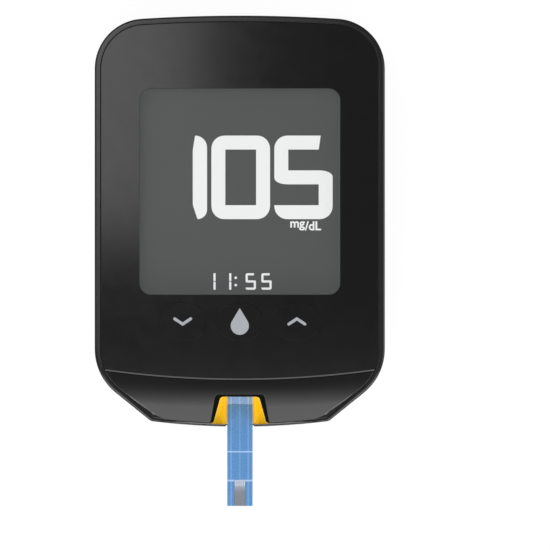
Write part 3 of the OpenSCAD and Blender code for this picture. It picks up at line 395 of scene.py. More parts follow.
class Graph:
    """A tree of shader nodes, built up with short calls that add and link them."""

    def __init__(self, tree):
        self.tree = tree

    def add(self, kind, inputs=None, **settings):
        node = self.tree.nodes.new("ShaderNode" + kind)
        for key, value in settings.items():
            setattr(node, key, value)
        for key, value in (inputs or {}).items():
            self.put(node.inputs[key], value)
        return node

    def put(self, socket, value):
        if isinstance(value, bpy.types.NodeSocket):
            self.tree.links.new(value, socket)
        else:
            socket.default_value = value

    def math(self, operation, a, b=0.0):
        return self.add("Math", {0: a, 1: b}, operation=operation).outputs[0]

    def spread(self, source, low, high, start=0.3, end=0.7, kind="LINEAR"):
        """Maps a source, such as a noise, to a range of values."""
        inputs = {"Value": source, "From Min": start, "From Max": end, "To Min": low, "To Max": high}
        return self.add("MapRange", inputs, interpolation_type=kind).outputs[0]

    def choose(self, factor, a, b):
        return self.add("MixShader", {0: factor, 1: a, 2: b}).outputs[0]


def empty_graph(owner):
    """The cleared node tree of a material or world."""
    owner.use_nodes = True
    owner.node_tree.nodes.clear()
    return Graph(owner.node_tree)


def rgba(colour):
    return colour if isinstance(colour, bpy.types.NodeSocket) else (*colour, 1)


def shades(colour, low, high):
    """Two shares of a colour's strength."""
    return [tuple(min(c * share, 1) for c in colour) for share in (low, high)]


class Finish(Graph):
    """One procedural material, whose lumps and depths are given in millimetres."""

    def __init__(self):
        self.material = bpy.data.materials.new("finish")
        self.material.use_nodes = True
        super().__init__(self.material.node_tree)
        self.place = self.add("TexCoord").outputs["Object"]

    def noise(self, size, detail=3.0, stretch=(1, 1, 1)):
        """Noise whose lumps are about that size."""
        where = self.place
        if stretch != (1, 1, 1):
            where = self.add("Mapping", {"Vector": where, "Scale": stretch}).outputs[0]
        return self.add("TexNoise", {"Vector": where, "Scale": 1 / (size * MM), "Detail": detail}).outputs[0]

    def varied(self, low, high, size, detail=3.0):
        """A value that wanders between two limits."""
        return self.spread(self.noise(size, detail), low, high)

    def blend(self, factor, a, b):
        return self.add("Mix", {0: factor, 6: rgba(a), 7: rgba(b)}, data_type="RGBA").outputs[2]

    def tinted(self, colour, low, high, size, detail=3.0):
        """A colour that wanders between two shares of its strength."""
        return self.blend(self.noise(size, detail), *shades(colour, low, high))

    def axis(self, name):
        """One object coordinate, in millimetres."""
        return self.math("MULTIPLY", self.add("SeparateXYZ", {0: self.place}).outputs[name], 1 / MM)

    def band(self, value, centre, half, soft=0.03):
        """1 where value lies within half of centre, with soft edges."""
        away = self.math("ABSOLUTE", self.math("SUBTRACT", value, centre))
        return self.spread(away, 1, 0, half - soft, half + soft)

    def marks(self, axis, spots):
        """1 at each of the spots along an axis, given as centre and half width."""
        value, total = self.axis(axis), 0.0
        for spot in spots:
            total = self.math("MAXIMUM", total, self.band(value, *spot))
        return total

    def stripes(self, count, half, soft):
        """Bands across X, so many to the millimetre."""
        return self.band(self.math("FRACT", self.math("MULTIPLY", self.axis("X"), count)), 0.5, half, soft)

    def waves(self, scale, distortion, output=1, **inputs):
        """Two sets of waves, along X and along Y."""
        inputs.update(Vector=self.place, Scale=scale, Distortion=distortion)
        return [self.add("TexWave", inputs, bands_direction=d).outputs[output] for d in ("X", "Y")]

    def finish(self, base, gloss, height, depth, **values):
        """Sets colour, roughness and a relief of that depth, and other sockets by their names."""
        relief = self.add("Bump", {"Height": height, "Distance": depth * MM, "Strength": 1.0}).outputs[0]
        shader = self.tree.nodes["Principled BSDF"]
        for key, value in dict(values, Base_Color=base, Roughness=gloss, Normal=relief).items():
            self.put(shader.inputs[key.replace("_", " ")], value)
        return self.material


def grained(colours, lumps, gloss, relief, depth, **values):
    """Colour that wanders between two shades, a wandering gloss and a fine relief, each with its own noise."""
    f = Finish()
    return f.finish(f.blend(f.noise(*lumps), *colours), f.varied(*gloss), f.noise(*relief), depth, **values)


def moulded(colour, rough, grain=0.25, depth=0.004, **values):
    """Plain solid finish: slight mottling of colour and gloss over a fine grain."""
    gloss = (rough - 0.04, rough + 0.04, 1.3, 4.0)
    return grained(shades(colour, 0.94, 1.06), (6.0, 2.0), gloss, (grain, 2.0), depth, **values)


def lit(colour, glow):
    """A display layer that is lit from behind."""
    return grained(shades(colour, 0.95, 1.05), (0.12,), (0.47, 0.53, 0.8), (0.08,), 0.001,
                   Emission_Color=(*glow, 1), Emission_Strength=1.0)


def brushed(colour, rough, stretch=(1, 12, 12)):
    """Metal sheet with fine drawing lines along one axis."""
    f = Finish()
    lines = f.noise(0.5, 4.0, stretch)
    gloss = f.spread(lines, rough - 0.06, rough + 0.08)
    return f.finish(f.tinted(colour, 0.93, 1.05, 4.0, 2.0), gloss, lines, 0.003, Metallic=1.0)


def gloss_finish(colour, rough):
    """Polished black plastic: faint moulding waves under gloss on the front, matt on the walls."""
    f = Finish()
    up = f.add("SeparateXYZ", {0: f.add("TexCoord").outputs["Normal"]}).outputs["Z"]
    front = f.spread(up, 0, 1, 0.45, 0.55)
    gloss = f.varied(rough - 0.012, rough + 0.012, 2.5, 5.0)
    gloss = f.add("Mix", {0: front, 2: 0.7, 3: gloss}).outputs[0]
    return f.finish(f.tinted(colour, 0.94, 1.06, 8.0), gloss, f.noise(5.0, 1.0), 0.0015,
                    Specular_IOR_Level=f.math("MULTIPLY", front, 0.5))


def board_finish():
    """Solder mask with copper tracks that show as slightly raised, lighter lines."""
    f = Finish()
    tracks = f.math("MAXIMUM", *[f.spread(wave, 0, 1, 0.8, 0.86) for wave in f.waves(160.0, 3.0, Detail=0.0)])
    base = f.blend(tracks, (0.018, 0.11, 0.05), (0.035, 0.19, 0.085))
    return f.finish(base, f.varied(0.28, 0.36, 0.6), tracks, 0.02)


def elastomer_finish():
    """Silicone block with thin conductive layers across it."""
    f = Finish()
    layers = f.stripes(4.0, 0.2, 0.08)
    base = f.blend(layers, (0.42, 0.17, 0.05), (0.62, 0.30, 0.12))
    return f.finish(base, f.varied(0.5, 0.6, 0.5), layers, 0.01)


def guide_finish():
    """Light guide with a grid of printed dots."""
    f = Finish()
    cells = f.add("TexVoronoi", {"Vector": f.place, "Scale": 1 / MM, "Randomness": 0.0})
    dots = f.spread(cells.outputs["Distance"], 1, 0, 0.25, 0.32)
    base = f.blend(dots, (0.80, 0.86, 0.88), (0.95, 0.96, 0.96))
    return f.finish(base, f.varied(0.08, 0.14, 2.0), dots, 0.004, Alpha=0.55)


def strip_finish(base, line):
    """Printed film with fine lighter lines along the tracks, the edges and across."""
    f = Finish()
    along, across = f.marks("X", LINES_ALONG), f.marks("Y", LINES_ACROSS)
    colour = f.blend(f.math("MULTIPLY", along, 0.7), f.tinted(base, 0.96, 1.04, 2.4, 2.0), line)
    colour = f.blend(f.math("MULTIPLY", across, 0.8), colour, (0.40, 0.58, 0.88))
    return f.finish(colour, f.varied(0.24, 0.34, 0.7), f.math("MAXIMUM", along, across), 0.004)


def sample_finish():
    """Absorbent mesh: a fine weave of threads, paler towards its inner end, with stripes there."""
    f = Finish()
    weave = f.math("MULTIPLY", *f.waves(900.0, 0.5))
    rise = f.spread(f.axis("Y"), 0, 1, STRIP_TIP_Y + 2.6, STRIP_TIP_Y + 5.1)
    inner = f.spread(f.axis("Y"), 0, 0.8, STRIP_TIP_Y + 3.7, STRIP_TIP_Y + 4.0)
    base = f.blend(rise, (0.17, 0.185, 0.215), (0.36, 0.44, 0.58))
    base = f.blend(f.math("MULTIPLY", f.stripes(2.8, 0.25, 0.1), inner), base, (0.60, 0.64, 0.70))
    base = f.blend(f.math("MULTIPLY", weave, 0.3), base, (0.33, 0.34, 0.35))
    return f.finish(base, f.varied(0.6, 0.75, 0.3), weave, 0.02)


def label_finish():
    """Satin silver film."""
    f = Finish()
    lines = f.noise(0.4, 4.0, (1, 14, 1))
    base = f.blend(lines, (0.50, 0.51, 0.53), (0.60, 0.61, 0.63))
    return f.finish(base, f.varied(0.38, 0.46, 1.2), lines, 0.001, Metallic=0.5)


MATERIALS = {
    "housing_black": grained(((0.010, 0.010, 0.011), (0.014, 0.014, 0.015)), (5.0,), (0.18, 0.23, 0.9),
                             (0.16,), 0.005),
    "cover_black": gloss_finish((0.008, 0.008, 0.0085), 0.13),
    "panel_black": gloss_finish((0.005, 0.005, 0.0054), 0.105),
    "window_clear": grained(((0.02, 0.022, 0.022), (0.025, 0.027, 0.027)), (9.0,), (0.05, 0.08, 4.0),
                            (7.0, 1.0), 0.001, Alpha=0.14, Specular_IOR_Level=0.1),
    "symbol_silver": moulded((0.39, 0.41, 0.435), 0.35, Metallic=0.3),
    "plunger_white": moulded((0.72, 0.72, 0.68), 0.45),
    "holder_white": moulded((0.86, 0.86, 0.83), 0.45),
    "dome_steel": brushed((0.6, 0.6, 0.58), 0.25),
    "foam_black": moulded((0.03, 0.03, 0.03), 0.9, grain=0.2, depth=0.03),
    "segment_white": lit((0.3, 0.3, 0.3), (0.88, 0.90, 0.90)),
    "display_grey": lit((0.02, 0.02, 0.02), (0.080, 0.0865, 0.0855)),
    "display_glass": grained(shades((0.7, 0.78, 0.76), 0.96, 1.03), (6.0,), (0.06, 0.1, 3.0), (5.0,), 0.001,
                             Alpha=0.4),
    "film_grey": moulded((0.28, 0.30, 0.30), 0.4, grain=0.1, depth=0.001),
    "film_white": moulded((0.88, 0.88, 0.86), 0.5, grain=0.1, depth=0.001),
    "guide_clear": guide_finish(),
    "led_cream": moulded((0.85, 0.80, 0.55), 0.2, grain=0.6, depth=0.002),
    "elastomer": elastomer_finish(),
    "board_green": board_finish(),
    "chip_black": moulded((0.025, 0.025, 0.027), 0.55, grain=0.08, depth=0.006),
    "can_silver": brushed((0.6, 0.6, 0.6), 0.28),
    "contact_gold": grained(((0.72, 0.52, 0.19), (0.80, 0.60, 0.26)), (0.8,), (0.2, 0.3, 0.3), (0.2,),
                            0.002, Metallic=1.0),
    "passive_tan": moulded((0.45, 0.33, 0.22), 0.5, grain=0.05, depth=0.002),
    "cell_nickel": brushed((0.62, 0.62, 0.60), 0.26, (10, 1, 1)),
    "seal_ivory": moulded((0.80, 0.78, 0.68), 0.5),
    # The liner's emission is painted light: a glow that brightens the yellow funnel where the notch walls and
    # the lip shade it.
    "liner_yellow": grained(((0.96, 0.56, 0.006), (1.0, 0.62, 0.012)), (3.0,), (0.26, 0.34, 1.5, 4.0), (0.5,),
                            0.003, Emission_Color=(1.0, 0.56, 0.006, 1), Emission_Strength=0.24),
    "strip_light": strip_finish((0.21, 0.42, 0.92), (0.50, 0.62, 0.92)),
    "strip_blue": strip_finish((0.088, 0.24, 0.50), (0.20, 0.37, 0.68)),
    "electrode_carbon": moulded((0.03, 0.03, 0.032), 0.6, grain=0.06),
    "sample_grey": sample_finish(),
    "usb_steel": brushed((0.62, 0.62, 0.60), 0.26, (10, 1, 10)),
    "screw_steel": brushed((0.5, 0.5, 0.5), 0.3, (10, 10, 1)),
    "label_silver": label_finish(),
}
for slot_name, material in MATERIALS.items():
    material.name = slot_name

# Every CAD node that stays has its slot's material, and a weld that joins its coincident points
for part in frame["record"]["subparts"]:
    cad_node = frame["nodes"][part["node"]]
    cad_node.data.materials.clear()
    cad_node.data.materials.append(MATERIALS[part["material_slot"]])
    cad_node.modifiers.new("weld", "WELD").merge_threshold = 0.0005 * MM


# ---- rear housing

DOOR, CELL, LABEL, USB = Span("battery_door"), Span("meter_battery"), Span("rear_label"), Span("usb_shell")
BUZZER, SCREW_SPAN = Span("buzzer"), Span("case_screws")
BOARD_Z = Span("main_board").low[2]
LABEL_R = 1
DOOR_GAP = 0.1
TONGUE_W = 0.9
DOOR_W = 2 * (DOOR.high[0] - TONGUE_W)
DOOR_Y = DOOR.low[1]
DOOR_INSET = DOOR.low[2]
DOOR_TOP = DOOR.high[2]
DOOR_LIP = 0.8
POCKET_Z = DOOR_TOP + DOOR_GAP
CELL_R = CELL.size[0] / 2
CELL_X = -CELL.mid[0]
CELL_XS = (-CELL_X, CELL_X)
CELL_Y = CELL.mid[1]
WELL_R = CELL_R + 0.25
WELL_WALL = 1.2
CELL_LIFT, CELL_T, CELL_PLAY = 0.1, 3.2, 0.2
ROOF_Z = POCKET_Z + CELL_LIFT + CELL_T + CELL_PLAY
ROOF_T = 0.8
BAY_TOP = ROOF_Z + ROOF_T
BAY_RAIL = 1.1
BAY_FLOOR_T = 1.0
HEAD_R = 1.8
HEAD_H = 1.2
HEAD_GAP = 0.15
SHANK_R = 1.0
SHANK_L = 9.0
POST_WALL = 0.7
POST_R = HEAD_R + HEAD_GAP + POST_WALL
LOW_HEAD_Z = SCREW_SPAN.low[2]
LOW_SCREW = (SCREW_SPAN.high[0] - HEAD_R, SCREW_SPAN.low[1] + HEAD_R, LOW_HEAD_Z)
TOP_SCREW = (BODY_W / 2 - 11.1, SCREW_SPAN.high[1] - HEAD_R, POCKET_Z + 0.1)
SCREWS = [(s * x, y, z) for x, y, z in (TOP_SCREW, LOW_SCREW) for s in (-1, 1)]


def rear_rings(steps=8):
    """Profile of the rounded rear edge, from the rest face up to the drafted side."""
    return [(SIDE_DRAFT + REAR_EDGE_R * s, REAR_EDGE_R * c) for c, s in quarter(steps)]


def tub():
    """The housing's shell as one skin: rear face, sides, crowned rim that follows the chin, and inside."""
    edge = outline(0)
    inward = [(b[0] - a[0], b[1] - a[1]) for a, b in zip(edge, seam_outline(1))]
    tops = [min(RIM_Z, front_height(x, y) - RIM_DROP) for x, y in edge]
    tilts = [RIM_TILT * clamp((TILT_END_X - abs(x)) / TILT_EASE) * (y < BOTTOM_Y + 2) for x, y in edge]
    rings = [level(outline(d), z) for d, z in rear_rings()]
    for d, drop in RIM_CROWN:
        rings.append([(x + nx * d, y + ny * d, z - drop - tilt * (RIM_W - d))
                      for (x, y), (nx, ny), z, tilt in zip(edge, inward, tops, tilts)])
    rings += [level(seam_outline(RIM_W), SKIRT_Z), level(outline(WALL), SKIRT_Z)]
    rings += [level(outline(WALL + INNER_R * c), REAR_WALL + INNER_R * s) for c, s in quarter(3)]
    return loft("tub", rings)


def battery_bay():
    """Ceiling, rails and wells over the battery door."""
    w = DOOR_W / 2 + TONGUE_W + DOOR_GAP + BAY_RAIL
    y = DOOR_Y - DOOR_GAP - BAY_RAIL
    low, top = REAR_WALL - 0.1, POCKET_Z + BAY_FLOOR_T
    rails = [block((x0, y, low), (x1, y1, top)) for x0, x1, y1 in
             ((-w, -w + BAY_RAIL, TOP_Y), (w - BAY_RAIL, w, TOP_Y), (-w, w, y + BAY_RAIL))]
    walls = plate(POCKET_Z, BAY_TOP, 0, 0.3)
    wells = [slab("well", round_hole(WELL_R + WELL_WALL, x, CELL_Y, 72), walls) for x in CELL_XS]
    bay = unite(block((-w, y, POCKET_Z), (w, TOP_Y, top)), *rails, *wells)
    return within(bay, slab("inside", outline, [(WALL - 0.2, 0), (WALL - 0.2, FRONT_Z)]))


def side_pads():
    """Pads on the side walls that carry the board."""
    w, l, x = 1.6, 6.0, BODY_W / 2 - WALL
    pads = []
    for y in (TOP_CORNER_Y - 13, LOWER_CORNER_Y + 14):
        for s in (-1, 1):
            x0, x1 = sorted((s * (x - w), s * (x + 0.2)))
            pads.append(block((x0, y - l / 2, REAR_WALL - 0.1), (x1, y + l / 2, BOARD_Z)))
    return pads


def screw_posts():
    return [slab("post", round_hole(POST_R, x, y), [(0, max(REAR_WALL - 0.1, z)), (0, BOARD_Z)])
            for x, y, z in SCREWS]


def screw_cutters():
    """Counterbore with a chamfered mouth and a through hole for each screw."""
    tools = []
    for x, y, z in SCREWS:
        mouth = 0 if z == LOW_HEAD_Z else POCKET_Z
        tools.append(slab("head", round_hole(HEAD_R + HEAD_GAP, x, y), flared(0.2, mouth, z + HEAD_H)))
        tools.append(slab("hole", round_hole(SHANK_R + HEAD_GAP, x, y), [(0, z), (0, BOARD_TOP)]))
    return tools


def door_shape(w, y0):
    """The door's outline, which runs out past the top edge."""
    y1 = TOP_Y + 2
    return lambda d: [(-w + d, y1), (w - d, y1), (w - d, y0 + d), (-w + d, y0 + d)]


def door_cutters():
    """Opening for the door: a chamfered mouth and a wider track for its side tongues."""
    w, y = DOOR_W / 2 + DOOR_GAP, DOOR_Y - DOOR_GAP
    mouth = slab("mouth", door_shape(w, y), flared(0.15, 0, POCKET_Z))
    return [mouth, block((-w - TONGUE_W, y, DOOR_LIP), (w + TONGUE_W, TOP_Y + 2, POCKET_Z))]


def contact_cutters():
    """Slots for the battery contacts: one in each well's wall and one in each roof."""
    clip_w, clip_t, spring_w, spring_y, spring_t = 4.4, 0.35, 3.4, CELL_Y + 5.8, 0.6
    y = CELL_Y - WELL_R
    tools = []
    for x in CELL_XS:
        for w, y0, y1, z in ((clip_w, y - clip_t, y + 1, POCKET_Z + 0.2),
                             (spring_w, spring_y, spring_y + spring_t, ROOF_Z - 0.1)):
            tools.append(block((x - w / 2, y0, z), (x + w / 2, y1, BAY_TOP + 1)))
    return tools


def label_shape(grow=0.0, n=8):
    w, l, r = (side + grow for side in (LABEL.size[0] + grow, LABEL.size[1] + grow, LABEL_R))
    return rounded(w, l, r, 0, LABEL.mid[1], n)


def duct(name, shape, profile):
    """A solid along Y about the socket's middle, from a profile of (inset, y)."""
    return loft(name, [[(x, y, z + USB.mid[2]) for x, z in shape(d)] for d, y in profile])


def plug_cutter():
    """Opening for the data plug, flared at the outer face."""
    gap = 0.45
    return duct("plug", rounded(USB.size[0] + 2 * gap, USB.size[2] + 2 * gap, 0.9),
                flared(0.2, TOP_Y - 0.25, TOP_Y - WALL - 2))


def port_cutter():
    """Opening for the port's funnel, which leaves the rim, and in front a sloped lip with a slot."""
    notch_gap, slot_gap, slope, back = 0.12, 0.25, 0.25, BOTTOM_Y + 2 * WALL
    notch_w, slot_w = NOTCH_LOW[1] + notch_gap, STRIP_W / 2 + slot_gap
    port = block((-PORT_MOUTH_W, BOTTOM_Y - 1, BOARD_TOP - 0.1), (PORT_MOUTH_W, back, LINER_TOP + 0.05))
    unite(port, block((-notch_w, BOTTOM_Y - 1, LINER_TOP - 1), (notch_w, back, FRONT_Z + 1)))
    lip = slab("lip", outline, [(-1, BOARD_TOP - 1), (-1, LIP_TOP - 0.8), (0, LIP_TOP - slope),
                                (LIP_T, LIP_TOP)])
    carve(lip, slab("behind", outline, [(LIP_T, 0), (LIP_T, FRONT_Z)]),
          block((-slot_w, BOTTOM_Y - 2, PORT_FLOOR_Z - 0.1), (slot_w, back, FRONT_Z), 0.05))
    return carve(port, lip)


def build_rear_housing():
    shell = unite(tub(), battery_bay(), *side_pads(), *screw_posts())
    wells = [slab("well", round_hole(WELL_R, x, CELL_Y, 72),
                  [(-0.2, POCKET_Z - 1), (-0.2, POCKET_Z), (0, POCKET_Z + 0.2), (0, ROOF_Z)])
             for x in CELL_XS]
    sound = [slab("sound", round_hole(0.5, BUZZER.mid[0] + 2 * i, BUZZER.mid[1], 24),
                  flared(0.1, 0, REAR_WALL + 1)) for i in (-1, 0, 1)]
    label = slab("label", label_shape(0.15), flared(0.06, 0, LABEL.high[2]))
    carve(shell, *door_cutters(), *screw_cutters(), *wells, *contact_cutters(), *sound, label, port_cutter(),
          plug_cutter())
    place(shell, "rear_housing_shell", "housing_black", ["rear_housing"])


# ---- front cover

def crossing(a, b, radius=CREASE_R):
    """Point between a and b at that distance from the crease's centre."""
    for _ in range(40):
        m = ((a[0] + b[0]) / 2, (a[1] + b[1]) / 2)
        if (reach(*m) > radius) == (reach(*a) > radius):
            a = m
        else:
            b = m
    return a


def split_outline(d):
    """The seam's outline above the crease, and its part beyond, both clockwise with the crossings."""
    points = seam_outline(d)
    beyond = [reach(*p) > CREASE_R for p in points]
    first = beyond.index(True)
    last = len(beyond) - 1 - beyond[::-1].index(True)
    right = crossing(points[first - 1], points[first])
    left = crossing(points[last], points[last + 1])
    return [left] + points[last + 1:] + points[:first] + [right], [right] + points[first:last + 1] + [left]


def notch_half(widths, r, flare, end_y=NOTCH_Y, steps=8):
    """Right half of the notch's outline, from its inner end to its mouth."""
    top_w, end_w = widths
    lean = atan((end_w - top_w) / NOTCH_DEPTH)
    points = arc(top_w - r * tan(pi / 4 - lean / 2), end_y - r, r, 90, degrees(lean), steps)
    if flare:
        y = NOTCH_MOUTH_Y + flare
        x = top_w + (flare - (y - end_y) * sin(lean)) / cos(lean)
        return points + arc(x, y, flare, 180 + degrees(lean), 270, steps)
    mouth_y = BOTTOM_Y - 1
    return points + [(top_w + (end_y - mouth_y) * tan(lean), mouth_y)]


def notch_wall(edge_drop):
    """Lower points and upper points of the notch's leaning wall, from the right mouth to the left one."""
    foot = NOTCH_Y - NOTCH_TOP_LEAN
    low = notch_half(NOTCH_LOW, NOTCH_R, NOTCH_FLARE, foot)
    high = notch_half([w + NOTCH_LEAN for w in NOTCH_LOW], NOTCH_R, NOTCH_FLARE, foot + NOTCH_TOP_LEAN)
    upper = []
    for a, b in zip(low, high):
        z = FRONT_Z
        for _ in range(12):
            t = z - NOTCH_LOW_Z
            x, y = a[0] + (b[0] - a[0]) * t, a[1] + (b[1] - a[1]) * t
            z = front_height(x, y) - edge_drop
        upper.append((x, y, z))
    return [points[::-1] + [(-x, y, z) for x, y, z in points] for points in (level(low, NOTCH_LOW_Z), upper)]


def bevel_rows(points, sizes, steps):
    """Rows of a rounded or chamfered edge: each point moves inwards as it rises to the front face."""
    rows = [points]
    n = len(points)
    normals = []
    blend, corner = 2.2, chin_corner(COVER_INSET)[0] + 0.4
    for i, (x, _, _) in enumerate(points):
        a, b = points[max(i - 1, 0)], points[min(i + 1, n - 1)]
        t = Vector((b[0] - a[0], b[1] - a[1])).normalized()
        normal = Vector((t.y, -t.x))
        share = min((corner - abs(x)) / blend, 1)
        if share > 0:
            slant = Vector((-SLANT_N[0] if x > 0 else SLANT_N[0], -SLANT_N[1]))
            normal = (slant * (1 - share) + normal * share).normalized()
        normals.append(normal)
    for inset, rise in steps:
        row = []
        for (x, y, _), (nx, ny), (w, e) in zip(points, normals, sizes):
            px, py = x + nx * w * inset, y + ny * w * inset
            if reach(px, py) < CREASE_R:
                px, py = crossing((x, y), (px, py))
            row.append((px, py, front_height(px, py) - e * (1 - rise)))
        rows.append(row)
    return rows


def refined(points, step):
    """The same path with points added on its long segments."""
    path = points[:1]
    for a, b in zip(points, points[1:]):
        n = max(1, round(hypot(b[0] - a[0], b[1] - a[1]) / step))
        path += [(a[0] + (b[0] - a[0]) * i / n, a[1] + (b[1] - a[1]) * i / n) for i in range(1, n + 1)]
    return path


def chin_edge(x, edge, wide=0.9, slope=0.36):
    """Width and drop of the chin's edge: a facet that grows along the slants and ends past their corners."""
    corner = chin_corner(COVER_INSET)[0]
    start = LOWER_CORNER_X + LOWER_CORNER_R * SLANT_N[0]
    t = clamp((start - abs(x)) / (start - corner)) if abs(x) > corner else 1 - (corner - abs(x)) / 2
    w = max(edge, wide * t)
    return w, max(edge, slope * w)


def unfolded(row, step=0.004):
    """The row with its outer points kept in order of x where the edge's facet turns its corner."""
    row = list(row)
    for order in (range(1, len(row)), range(len(row) - 2, 0, -1)):
        last = row[order[0] - order.step]
        for i in order:
            x, y, z = row[i]
            if abs(x) < 8:
                break
            if abs(x) > abs(last[0]) - step:
                row[i] = ((abs(last[0]) - step) * (1 if x > 0 else -1), y, z)
            last = row[i]
    return row


def cover_outer():
    """The front cover's outside: sides, the chin's rolled face with its notch, the crease and the deck."""
    edge, cut, step, clear = 0.14, (0.13, 0.08), 0.8, 0.4
    upper, chin = split_outline(COVER_INSET)
    low_wall, high_wall = notch_wall(cut[1])
    end_x = max(low_wall[0][0], high_wall[0][0])
    sides = [p for p in refined(chin, step) if abs(p[0]) > end_x + clear]
    right, left = sides[:len(sides) // 2], sides[len(sides) // 2:]
    lift = lambda points: [(x, y, front_height(x, y) - chin_edge(x, edge)[1]) for x, y in points]
    sink = lambda points: [(x, y, min(DECK_Z + 1.4, z - 0.5)) for x, y, z in lift(points)]
    top = lift(right) + high_wall + lift(left)
    middle = sink(right) + low_wall + sink(left)
    middle[0], middle[-1] = (*right[0], PANEL_Z), (*left[-1], PANEL_Z)
    sizes = [cut if right[-1][0] >= x >= left[0][0] else chin_edge(x, edge) for x, _, _ in top]
    sizes[len(right) - 1], sizes[-len(left)] = (chin_edge(x, edge) for x in (right[-1][0], left[0][0]))
    sizes[0] = sizes[-1] = (0, edge)
    rows = bevel_rows(top, sizes, ((0.04, 0.1), (0.84, 0.92), (1, 1)))
    start = rows[-1] = unfolded(rows[-1])
    crease = [(x, CREASE_CY - sqrt(CREASE_R ** 2 - x * x)) for x, _, _ in start]
    for t in (0.012, 0.05, 0.11, 0.18, 0.26, 0.34, 0.42, 0.5, 0.58, 0.66, 0.74, 0.82, 0.9, 0.96, 1):
        path = [(x + (cx - x) * t, y + (cy - y) * t) for (x, y, _), (cx, cy) in zip(start, crease)]
        rows.append([(x, y, front_height(x, y)) for x, y in path])
    grid = [level(middle, SKIRT_Z), middle, *rows, level(crease, PANEL_Z)]
    n = len(top)
    points = [p for row in grid for p in row]
    faces = strips(len(grid), n, False)
    # The deck's outline runs on from the left crossing round the top to the right one
    base = len(points)
    deck = upper[1:-1]
    points += level(deck, SKIRT_Z) + level(deck, PANEL_Z)
    m = len(deck)
    low_loop = [n - 1, *range(base, base + m), 0]
    high_loop = [2 * n - 1, *range(base + m, base + 2 * m), n]
    for i in range(m + 1):
        faces.append((low_loop[i], low_loop[i + 1], high_loop[i + 1], high_loop[i]))
    last = (len(grid) - 1) * n
    faces.append((*low_loop[:-1], *range(0, n - 1)))
    faces.append((*high_loop[1:-1], *range(last, last + n)))
    return make_mesh("cover", points, faces)


def cover_cavity():
    """Space inside the skirt, under the deck and the chin.

    A rib is left in it round the notch, which takes the notch's wall down to the funnel.
    """
    shape = outline(COVER_INSET + SKIRT_T)
    under = lambda x, y: (x, y, min(DECK_Z, front_height(x, y) - CHIN_T))
    steps = 9
    rings = [level(shape, SKIRT_Z - 1)]
    rings += [[under(x * (1 - k / steps), y * (1 - k / steps)) for x, y in shape] for k in range(steps)]
    rings.append([(x * 0.001, y * 0.001, DECK_Z) for x, y in shape])
    widths = [w + NOTCH_RIB for w in NOTCH_LOW]
    around = both_sides(notch_half(widths, NOTCH_R + NOTCH_RIB, 0, NOTCH_Y + NOTCH_RIB))
    return carve(loft("cavity", rings), slab("rib", lambda d: around, [(0, LINER_TOP + 0.05), (0, FRONT_Z)]))


def smooth_chin(shell):
    """Gives the rolled face the exact normals of its curve, whatever its mesh is like."""
    shell.modifiers.clear()
    mesh = shell.data
    normals = [n.vector.copy() for n in mesh.corner_normals]
    for face in mesh.polygons:
        if face.normal.z < 0.85:
            continue
        for i in face.loop_indices:
            x, y, z = (c / MM for c in mesh.vertices[mesh.loops[i].vertex_index].co)
            across = reach(x, y)
            if across > CREASE_R and abs(z - front_height(x, y)) < 0.003:
                lean = (across - CREASE_R - ROLL_S) / ROLL_R
                normals[i] = Vector((x * lean / across, (y - CREASE_CY) * lean / across, sqrt(1 - lean * lean)))
    mesh.normals_split_custom_set(normals)


def build_front_cover():
    shell = carve(cover_outer(), cover_cavity())
    unite(shell, *[slab("boss", round_hole(2.05, x, y), [(0, BOARD_TOP + 0.05), (0, DECK_Z + 0.05)])
                   for x, y, _ in SCREWS])
    window_gap, key_gap, bore_gap = 0.4, 0.2, 0.05
    low, high = DECK_Z - 1, PANEL_Z + 1
    through = [(0, low), (0, high)]
    tools = [slab("window", window_shape(window_gap, n=8), through)]
    for x in KEY_XS:
        tools += [slab("key", key_shape(x, key_gap, 16), through), key_tabs(x, low, high, key_gap)]
    for x, y, z in SCREWS:
        tools.append(slab("bore", round_hole(SHANK_R + bore_gap, x, y),
                          [(0, BOARD_TOP - 1), (0, z + HEAD_H + SHANK_L + 0.15)]))
    carve(shell, *tools, block((-PORT_MOUTH_W, BOTTOM_Y - 1, SKIRT_Z - 1),
                               (PORT_MOUTH_W, BOTTOM_Y + COVER_INSET + SKIRT_T + 0.6, LINER_TOP + 0.05)))
    place(shell, "front_cover_shell", "cover_black", ["front_cover"], sharp=24)
    smooth_chin(shell)


# ---- front panel, window and keys

WINDOW = Span("display_window")
FLANGE_W = 0.95
FLANGE_T = 0.6
WINDOW_GAP = 0.02
WINDOW_EDGE = 0.09
WINDOW_W, WINDOW_L = (side - 2 * FLANGE_W + 2 * WINDOW_GAP for side in WINDOW.size[:2])
WINDOW_R = 2.27
KEY_W = 9.0
KEY_L = 7.2
KEY_GAP = 0.015
KEY_SOFT = 0.015
KEY = Span("key_down_cap")
KEY_Y = KEY.mid[1]
KEY_XS = (KEY.mid[0], 0, -KEY.mid[0])
TAB_Z = KEY.low[2]
TAB_T = 0.65
TAB_W = (KEY.size[0] - KEY_W) / 2
ARROW_W = 3.7
ARROW_L = 1.6
ARROW_STROKE = 0.57
DROP_L = 5.2
SYMBOL_DEPTH = 0.25


def window_shape(grow=0.0, r=WINDOW_R, n=12):
    return rounded(WINDOW_W + 2 * grow, WINDOW_L + 2 * grow, r + max(grow, 0), 0, WINDOW.mid[1], n)


def key_shape(x, grow=0.0, n=20):
    return rounded(KEY_W + 2 * grow, KEY_L + 2 * grow, KEY_L / 2 + grow, x, KEY_Y, n)


def key_tabs(x, z0, z1, gap=0.0):
    """Block across a key for its two retaining tabs."""
    w, l = KEY_W / 2 + TAB_W + gap, KEY_L / 4 + gap
    return block((x - w, KEY_Y - l, z0), (x + w, KEY_Y + l, z1))


